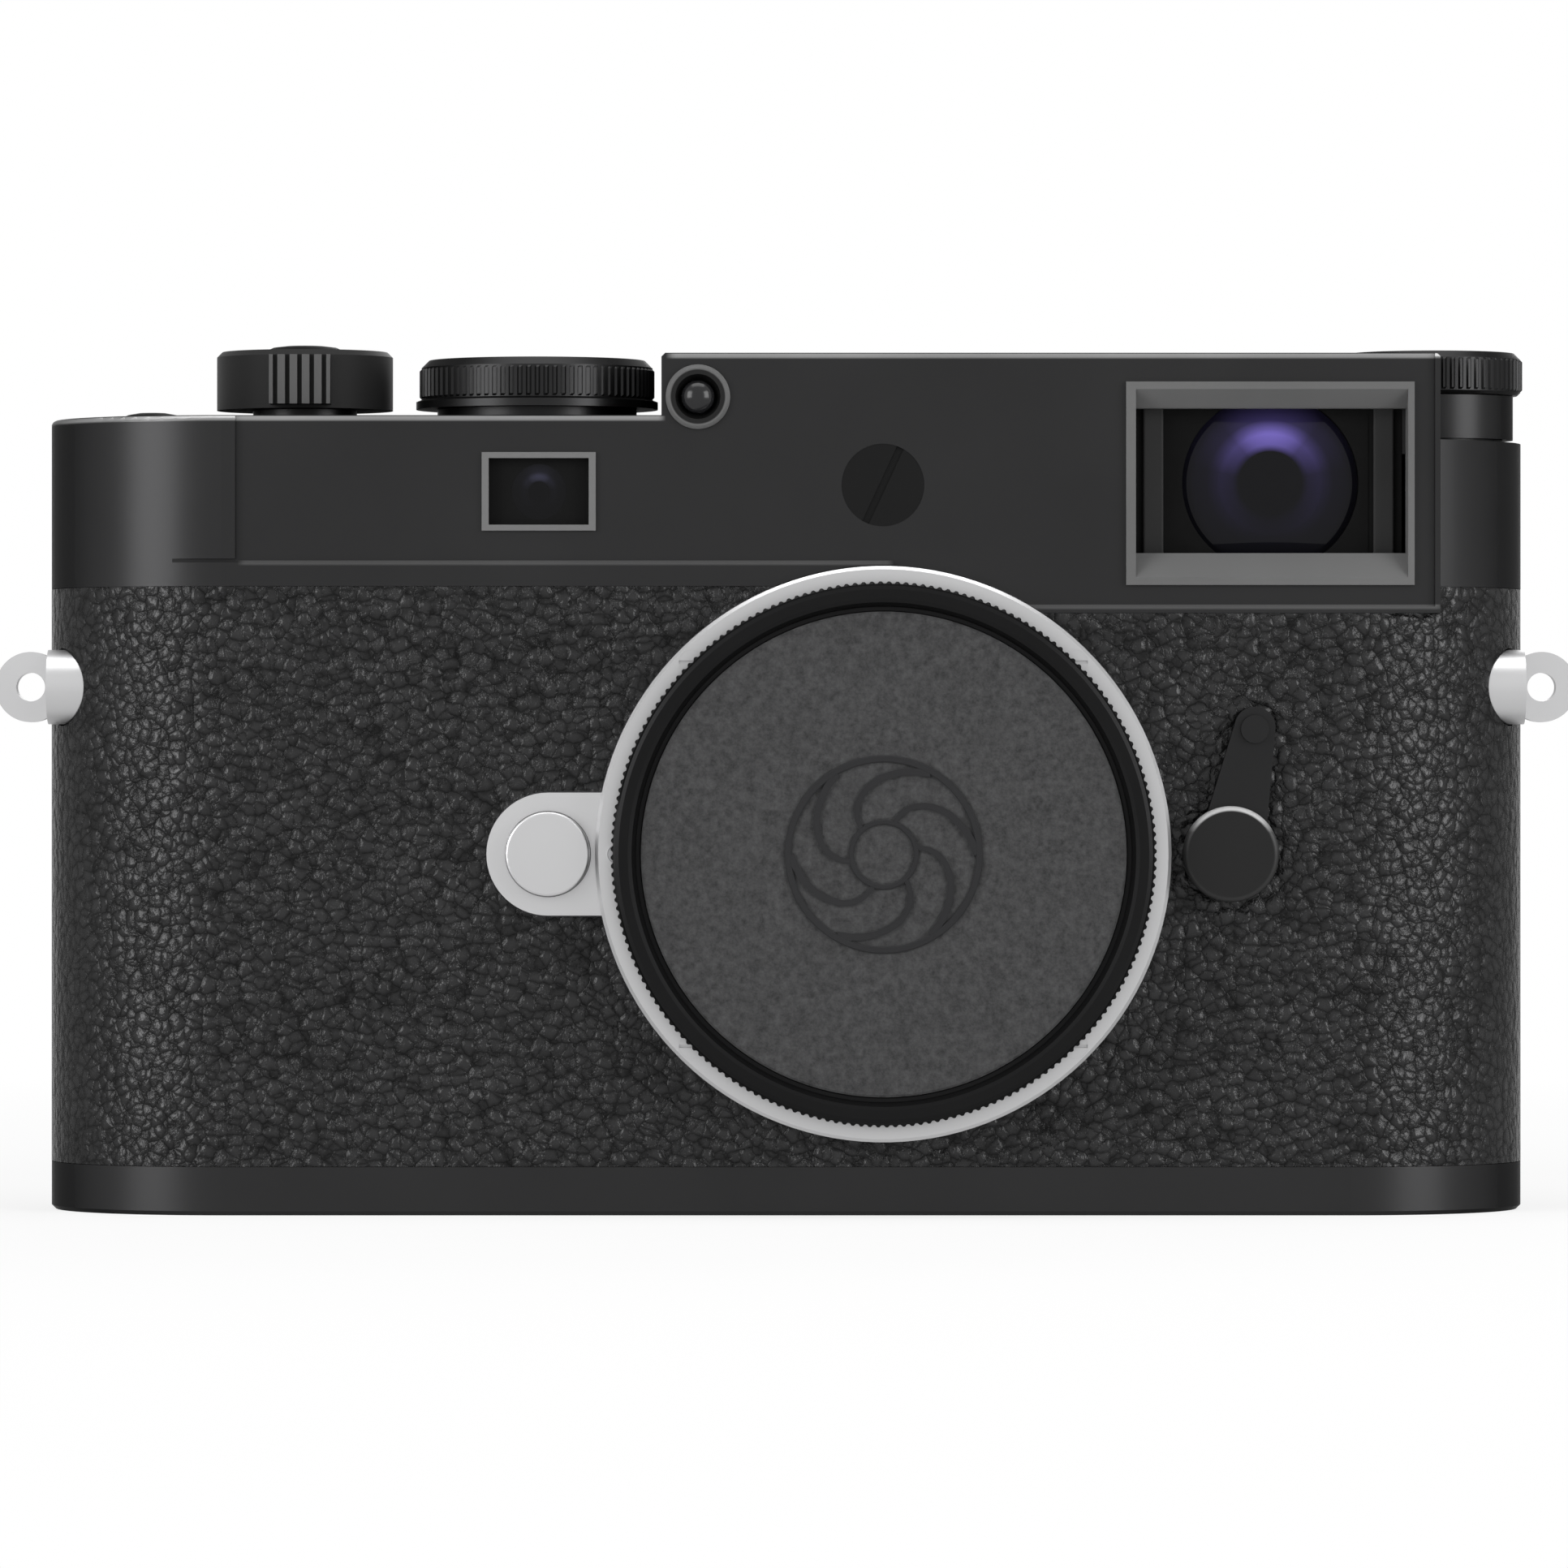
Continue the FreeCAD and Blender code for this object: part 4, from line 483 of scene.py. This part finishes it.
def lathe(profile, at, teeth=0, tooth=0.0, plain=128):
    """A closed turned shape. Profile rows are (radius, height, knurled), with lengths in mm."""
    steps = teeth * STEPS_PER_TOOTH if teeth else plain
    bm = bmesh.new()
    rings = []
    for radius, height, knurled in profile:
        if radius == 0:
            rings.append([bm.verts.new((0, 0, height * MM))])
            continue
        ring = []
        for i in range(steps):
            between_teeth = i % STEPS_PER_TOOTH in (0, STEPS_PER_TOOTH - 1)
            r = (radius - tooth if knurled and between_teeth else radius) * MM
            turn = 2 * math.pi * i / steps
            ring.append(bm.verts.new((r * math.cos(turn), r * math.sin(turn), height * MM)))
        rings.append(ring)
    closed = profile[0][0] != 0
    pairs = zip(rings, rings[1:] + rings[:1]) if closed else zip(rings, rings[1:])
    for low, high in pairs:
        count = max(len(low), len(high))
        for i in range(count):
            j = (i + 1) % count
            lower = (low[i % len(low)], low[j % len(low)])
            upper = (high[j % len(high)], high[i % len(high)])
            corners = list(dict.fromkeys(lower + upper))
            if len(corners) > 2:
                bm.faces.new(corners)
    return mesh_from(bm, at)


def slab(points, low, high, at):
    """A flat plate of the given outline in mm, from one height to another."""
    bm = bmesh.new()
    foot = [bm.verts.new((x * MM, y * MM, low * MM)) for x, y in points]
    head = [bm.verts.new((x * MM, y * MM, high * MM)) for x, y in points]
    bm.faces.new(foot[::-1])
    bm.faces.new(head)
    for i in range(len(points)):
        j = (i + 1) % len(points)
        bm.faces.new((foot[i], foot[j], head[j], head[i]))
    return mesh_from(bm, at)


def joined(meshes):
    bm = bmesh.new()
    for mesh in meshes:
        bm.from_mesh(mesh)
        bpy.data.meshes.remove(mesh)
    whole = bpy.data.meshes.new("joined")
    bm.to_mesh(whole)
    bm.free()
    return whole


# Body cap: knurled rim, recessed grained face, an embossed iris -------------------------------

cap_mid = middle("body_cap")
flange_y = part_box("mount_ring")[0].y
cap_at = placed("front", (cap_mid.x, flange_y, cap_mid.z))
CAP_RIM = 25.2
CAP_TOP = (flange_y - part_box("body_cap")[0].y) / MM
CAP_FACE = CAP_TOP - 0.8
CAP_PROFILE = (
    (0, CAP_FACE - 1.5, False),
    (20.2, CAP_FACE - 1.5, False),
    (20.2, -4.0, False),
    (21.7, -4.0, False),
    (21.7, 0.05, False),
    (CAP_RIM - 0.25, 0.05, False),
    (CAP_RIM, 0.3, True),
    (CAP_RIM, CAP_TOP - 1.5, True),
    (CAP_RIM - 0.25, CAP_TOP - 1.3, False),
    (CAP_RIM - 0.25, CAP_TOP - 0.45, False),
    (CAP_RIM - 0.4, CAP_TOP - 0.15, False),
    (CAP_RIM - 0.75, CAP_TOP, False),
    (23.6, CAP_TOP, False),
    (23.25, CAP_TOP - 0.1, False),
    (22.95, CAP_FACE + 0.15, False),
    (22.85, CAP_FACE - 0.35, False),
    (22.5, CAP_FACE - 0.35, False),
    (22.4, CAP_FACE - 0.08, False),
    (22.2, CAP_FACE, False),
    (0, CAP_FACE, False),
)
cap_mesh = lathe(CAP_PROFILE, cap_at, teeth=200, tooth=0.2)
cap = add_piece("cap_with_knurled_rim", cap_mesh, "cap", "cap_plastic")
cap_mesh.materials.append(CAP_RIM_FINISH)
for face in cap_mesh.polygons:
    offset = face.center - cap_mid
    in_disc = math.hypot(offset.x, offset.z) < 22.3 * MM and offset.y < 0
    face.material_index = 0 if in_disc else 1
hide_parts("body_cap")

LUG_SPAN = 44
LUG_STEPS = 12
lugs = []
for start in (0, 120, 240):
    steps = [start - LUG_SPAN / 2 + LUG_SPAN * k / LUG_STEPS for k in range(LUG_STEPS + 1)]
    arc = [math.radians(step) for step in steps]
    outline = [(23.3 * math.cos(a), 23.3 * math.sin(a)) for a in arc]
    outline += [(21.5 * math.cos(a), 21.5 * math.sin(a)) for a in arc[::-1]]
    lugs.append(slab(outline, -2.65, -1.45, cap_at))
add_piece("cap_lugs", joined(lugs), "cap", "cap_plastic")

BLADES = 6
BLADE_STEPS = 14
IRIS = 8.6
HUB = 3.1
EMBOSS_ROOT = CAP_FACE - 0.05
lines = []
for k in range(BLADES):
    turn = 2 * math.pi * k / BLADES
    sweep = []
    for n in range(BLADE_STEPS + 1):
        t = n / BLADE_STEPS
        radius = IRIS * (1 - t) + HUB * t
        angle = turn + 1.25 * t + 0.25 * math.sin(math.pi * t)
        sweep.append(Vector((radius * math.cos(angle), radius * math.sin(angle))))
    left = []
    right = []
    for n, point in enumerate(sweep):
        ahead = sweep[min(n + 1, BLADE_STEPS)] - sweep[max(n - 1, 0)]
        half_width = 0.34 - 0.12 * n / BLADE_STEPS
        side = Vector((-ahead.y, ahead.x)).normalized() * half_width
        left.append(tuple(point + side))
        right.append(tuple(point - side))
    lines.append(slab(left + right[::-1], EMBOSS_ROOT, CAP_FACE + 0.28, cap_at))
for inner, outer in ((IRIS - 0.1, IRIS + 0.55), (HUB - 0.35, HUB + 0.15)):
    rim = [(inner, EMBOSS_ROOT, False), (outer, EMBOSS_ROOT, False)]
    rim += [(outer, CAP_FACE + 0.2, False), (outer - 0.1, CAP_FACE + 0.3, False)]
    rim += [(inner + 0.1, CAP_FACE + 0.3, False), (inner, CAP_FACE + 0.2, False)]
    lines.append(lathe(rim, cap_at))
IRIS_FINISH = satin_black("embossed_iris", (0.022, 0.022, 0.023), (0.03, 0.03, 0.031), 0.4)
add_piece("cap_iris_emblem", joined(lines), "cap", "cap_plastic", IRIS_FINISH)


# Knurled sleeves on the dials -----------------------------------------------------------------

RIB_DEPTH = 0.24
SLEEVE_EASE = 0.25
SLEEVE_WALL = 1.0


def knurled_sleeve(name, node, body, radius, foot, head, teeth):
    """Fine vertical ribs round a dial, between two depths below its top, in mm."""
    centre = middle(node)
    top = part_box(node)[1].z / MM
    low, high = top - foot, top - head
    profile = [
        (radius - SLEEVE_WALL, low, False),
        (radius - SLEEVE_EASE, low, False),
        (radius, low + SLEEVE_EASE, True),
        (radius, high - SLEEVE_EASE, True),
        (radius - SLEEVE_EASE, high, False),
        (radius - SLEEVE_WALL, high, False),
    ]
    at = placed("up", (centre.x, centre.y, 0))
    add_piece(name, lathe(profile, at, teeth=teeth, tooth=RIB_DEPTH), body, "black_trim")


knurled_sleeve("shutter_dial_ribs", "shutter_dial", "speed_dial", 11.08, 3.7, 0.75, 84)
knurled_sleeve("iso_knob_ribs", "iso_dial", "iso_knob", 8.68, 3.7, 0.55, 66)
wheel_low, wheel_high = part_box("thumbwheel")
WHEEL_THICKNESS = (wheel_high.z - wheel_low.z) / MM
knurled_sleeve("thumbwheel_ribs", "thumbwheel", "wheel", 6.05, WHEEL_THICKNESS - 0.3, 0.3, 48)


# Light sensor's bead --------------------------------------------------------------------------

sensor_low, sensor_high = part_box("meter_lens")
sensor_mid = middle("meter_lens")
BEAD = (sensor_high.x - sensor_low.x) / 2 / MM - 0.05
BEAD_HEIGHT = 0.75 * BEAD
BEAD_STEPS = 10
rise = [math.radians(90 * k / BEAD_STEPS) for k in range(BEAD_STEPS)]
bead_profile = [(0, -0.3, False), (BEAD, -0.3, False)]
bead_profile += [(BEAD * math.cos(a), BEAD_HEIGHT * math.sin(a), False) for a in rise]
bead_profile += [(0, BEAD_HEIGHT, False)]
bead_at = placed("front", (sensor_mid.x, sensor_low.y, sensor_mid.z))
bead_mesh = lathe(bead_profile, bead_at, plain=48)
bead_mesh.polygons.foreach_set("use_smooth", [True] * len(bead_mesh.polygons))
BEAD_FINISH = clear_pane("sensor_bead", (0.012, 0.012, 0.013), 0.16)
add_piece("light_sensor_bead", bead_mesh, "camera", "clear_glass", BEAD_FINISH)


# Finder: black cheeks beside the objective, each with a grey upright ---------------------------


def box_plate(low, high):
    """A plate between two corners in metres, with its long front edges rounded off."""
    wide = (high.x - low.x) / MM
    tall = (high.z - low.z) / MM
    deep = (high.y - low.y) / MM
    ease = min(wide, deep) * 0.45
    turns = [math.radians(90 * k / 5) for k in range(6)]
    section = [(0, 0)]
    section += [(ease - ease * math.cos(a), deep - ease + ease * math.sin(a)) for a in turns]
    section += [(wide - ease + ease * math.sin(a), deep - ease + ease * math.cos(a)) for a in turns]
    section += [(wide, 0)]
    turned = Matrix.Translation((low.x, high.y, low.z)) @ Matrix.Scale(-1, 4, Vector((0, 1, 0)))
    return slab(section, 0, tall, turned)


bezel_low, bezel_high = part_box("finder_bezel")
glass_low, glass_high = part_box("finder_glass")
FRAME_SIDE = 0.9 * MM
GLASS_GAP = 0.1 * MM
POST_INSET = 0.8 * MM
POST_WIDTH = 1.9 * MM
cheek_low_z = bezel_low.z + 1.5 * MM
cheek_high_z = bezel_high.z - 1.5 * MM
left_cheek = (bezel_low.x + FRAME_SIDE, glass_low.x - GLASS_GAP)
right_cheek = (glass_high.x + GLASS_GAP, bezel_high.x - FRAME_SIDE)
cheeks = []
uprights = []
for (left, right), post in (
    (left_cheek, left_cheek[0] + POST_INSET),
    (right_cheek, right_cheek[1] - POST_INSET - POST_WIDTH),
):
    foot = Vector((left, glass_low.y - 0.1 * MM, cheek_low_z))
    head = Vector((right, glass_low.y + 0.1 * MM, cheek_high_z))
    cheeks.append(box_plate(foot, head))
    foot = Vector((post, glass_low.y - 0.5 * MM, cheek_low_z))
    head = Vector((post + POST_WIDTH, glass_low.y - 0.05 * MM, cheek_high_z))
    uprights.append(box_plate(foot, head))
add_piece("finder_cheeks", joined(cheeks), "camera", "inner_black")
UPRIGHT_FINISH = satin_black("finder_upright", grey(0.028), grey(0.036), 0.5)
add_piece("finder_uprights", joined(uprights), "camera", "inner_black", UPRIGHT_FINISH)


# Markings -------------------------------------------------------------------------------------

MARK_ROOT = -0.1
MARK_RISE = 0.03
CAPITAL_TO_SIZE = 1.35


def dial_numbers(name, texts, node, body, radius, height, step):
    """Characters set clockwise round a dial's top from the front, feet towards the middle."""
    centre = middle(node)
    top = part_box(node)[1].z
    whole = bmesh.new()
    for n, text in enumerate(texts):
        angle = math.radians(-90 - step * n)
        out = radius * MM
        place = (centre.x + out * math.cos(angle), centre.y + out * math.sin(angle), top)
        curve = bpy.data.curves.new("mark", "FONT")
        curve.body = text
        curve.size = height * MM * CAPITAL_TO_SIZE
        curve.align_x = "CENTER"
        curve.align_y = "CENTER"
        curve.extrude = MARK_RISE * MM
        curve.resolution_u = 4
        holder = bpy.data.objects.new("mark", curve)
        flat = bpy.data.meshes.new_from_object(holder)
        flat.transform(Matrix.Translation(place) @ Matrix.Rotation(angle - math.pi / 2, 4, "Z"))
        whole.from_mesh(flat)
        bpy.data.objects.remove(holder)
        bpy.data.meshes.remove(flat)
    mesh = bpy.data.meshes.new(name)
    whole.to_mesh(mesh)
    whole.free()
    add_piece(name, mesh, body, "black_trim", SILVER_MARK)


SPEEDS = "A 4000 2000 1000 500 250 125 60 30 15 8 4 2 1 B".split()
SENSITIVITIES = "A 64 200 400 800 1600 3200 6400".split()
speed_step = 360 / len(SPEEDS)
iso_step = 360 / len(SENSITIVITIES)
dial_numbers("shutter_speed_numbers", SPEEDS, "shutter_dial", "speed_dial", 8.3, 1.15, speed_step)
dial_numbers("sensitivity_numbers", SENSITIVITIES, "iso_dial", "iso_knob", 6.0, 1.2, iso_step)


def dot(radius, at):
    rim = [(0, MARK_ROOT, False), (radius, MARK_ROOT, False), (radius, MARK_RISE - 0.02, False)]
    rim += [(radius - 0.04, MARK_RISE, False), (0, MARK_RISE, False)]
    return lathe(rim, at, plain=32)


def strip(width, height, at):
    w = width / 2
    h = height / 2
    return slab([(-w, -h), (w, -h), (w, h), (-w, h)], MARK_ROOT, MARK_RISE, at)


def arrow(size, at, turn):
    angles = [math.radians(turn + 120 * k) for k in range(3)]
    points = [(size * math.cos(a), size * math.sin(a)) for a in angles]
    return slab(points, MARK_ROOT, MARK_RISE, at)


def on_key(node, dx=0.0, dz=0.0):
    mid = middle(node)
    return placed("back", (mid.x + dx * MM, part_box(node)[1].y, mid.z + dz * MM))


def key_mark(name, shapes, body):
    add_piece(name, joined(shapes), body, "key_plastic", SILVER_MARK)


PAD = 6.6
PAD_ARROWS = ((0, PAD, -90), (0, -PAD, 90), (PAD, 0, 180), (-PAD, 0, 0))
key_mark("play_mark", [arrow(1.0, on_key("play_button"), 180)], "play_key")
key_mark("fn_mark", [dot(0.65, on_key("fn_button"))], "fn_key")
menu_rows = [strip(2.0, 0.3, on_key("menu_button", 0, dz)) for dz in (-0.65, 0, 0.65)]
key_mark("menu_mark", menu_rows, "menu_key")
pad_marks = [arrow(0.62, on_key("dpad_ring", dx, dz), turn) for dx, dz, turn in PAD_ARROWS]
key_mark("dpad_marks", pad_marks, "rocker")


# Camera, floor and light ----------------------------------------------------------------------

lens = bpy.data.cameras.new("viewpoint")
lens.sensor_width = 36.0
lens.lens = 218.2
lens.clip_start = 0.01
viewpoint = bpy.data.objects.new("viewpoint", lens)
viewpoint.location = (-0.2 * MM, -900 * MM, 40.1 * MM)
viewpoint.rotation_euler = (math.radians(90), 0, 0)
scene.collection.objects.link(viewpoint)
scene.camera = viewpoint


def white_floor():
    """Diffuse for the light it passes on; seen directly, it glows and keeps some of the shadow."""
    f = new_finish("white_floor")
    x, y, _ = f.axes()
    cloud = f.blend(f.noise(3.0), grey(0.86), grey(0.9))
    paint = f.node("ShaderNodeBsdfDiffuse", {}, {"Color": cloud})
    bright = f.node("ShaderNodeEmission", {}, {"Strength": 1.0})
    glow = f.ramp((x * x + y * y).root(), (0.1, 0.78), (0.4, 1.0))
    seen = f.node("ShaderNodeMixShader", {}, {0: f.seen_directly() * glow, 1: paint, 2: bright})
    f.node("ShaderNodeOutputMaterial", {}, {0: seen})
    return f.owner


FLOOR = 6000
floor_profile = ((0, -2.0, False), (FLOOR, -2.0, False), (FLOOR, 0.0, False), (0, 0.0, False))
floor_mesh = lathe(floor_profile, Matrix(), plain=96)
floor = bpy.data.objects.new("floor", floor_mesh)
scene.collection.objects.link(floor)
floor_mesh.materials.append(white_floor())

scene.world = bpy.data.worlds.new("pale_room")
sky = Finish(scene.world)
room = sky.node("ShaderNodeBackground", {}, {"Color": grey(1.0), "Strength": 0.15})
white = sky.node("ShaderNodeBackground", {}, {"Color": grey(1.0), "Strength": 1.0})
either = sky.node("ShaderNodeMixShader", {}, {0: sky.seen_directly(), 1: room, 2: white})
sky.node("ShaderNodeOutputWorld", {}, {0: either})


def lamp(name, place, aim, width, height, power):
    data = bpy.data.lights.new(name, "AREA")
    data.shape = "RECTANGLE"
    data.size = width
    data.size_y = height
    data.energy = power
    made = bpy.data.objects.new(name, data)
    made.location = place
    made.rotation_euler = (Vector(aim) - Vector(place)).to_track_quat("-Z", "Y").to_euler()
    scene.collection.objects.link(made)


lamp("softbox_left", (-0.74, -0.62, 0.1), (-0.03, 0, 0.04), 0.5, 1.0, 10.0)
lamp("softbox_right", (0.74, -0.62, 0.1), (0.03, 0, 0.04), 0.5, 1.0, 10.0)
lamp("overhead", (0, -0.1, 0.9), (0, 0, 0.04), 0.9, 0.6, 5.0)
lamp("rear_fill", (0.3, 0.95, 0.55), (0, 0, 0.04), 0.7, 0.7, 3.0)
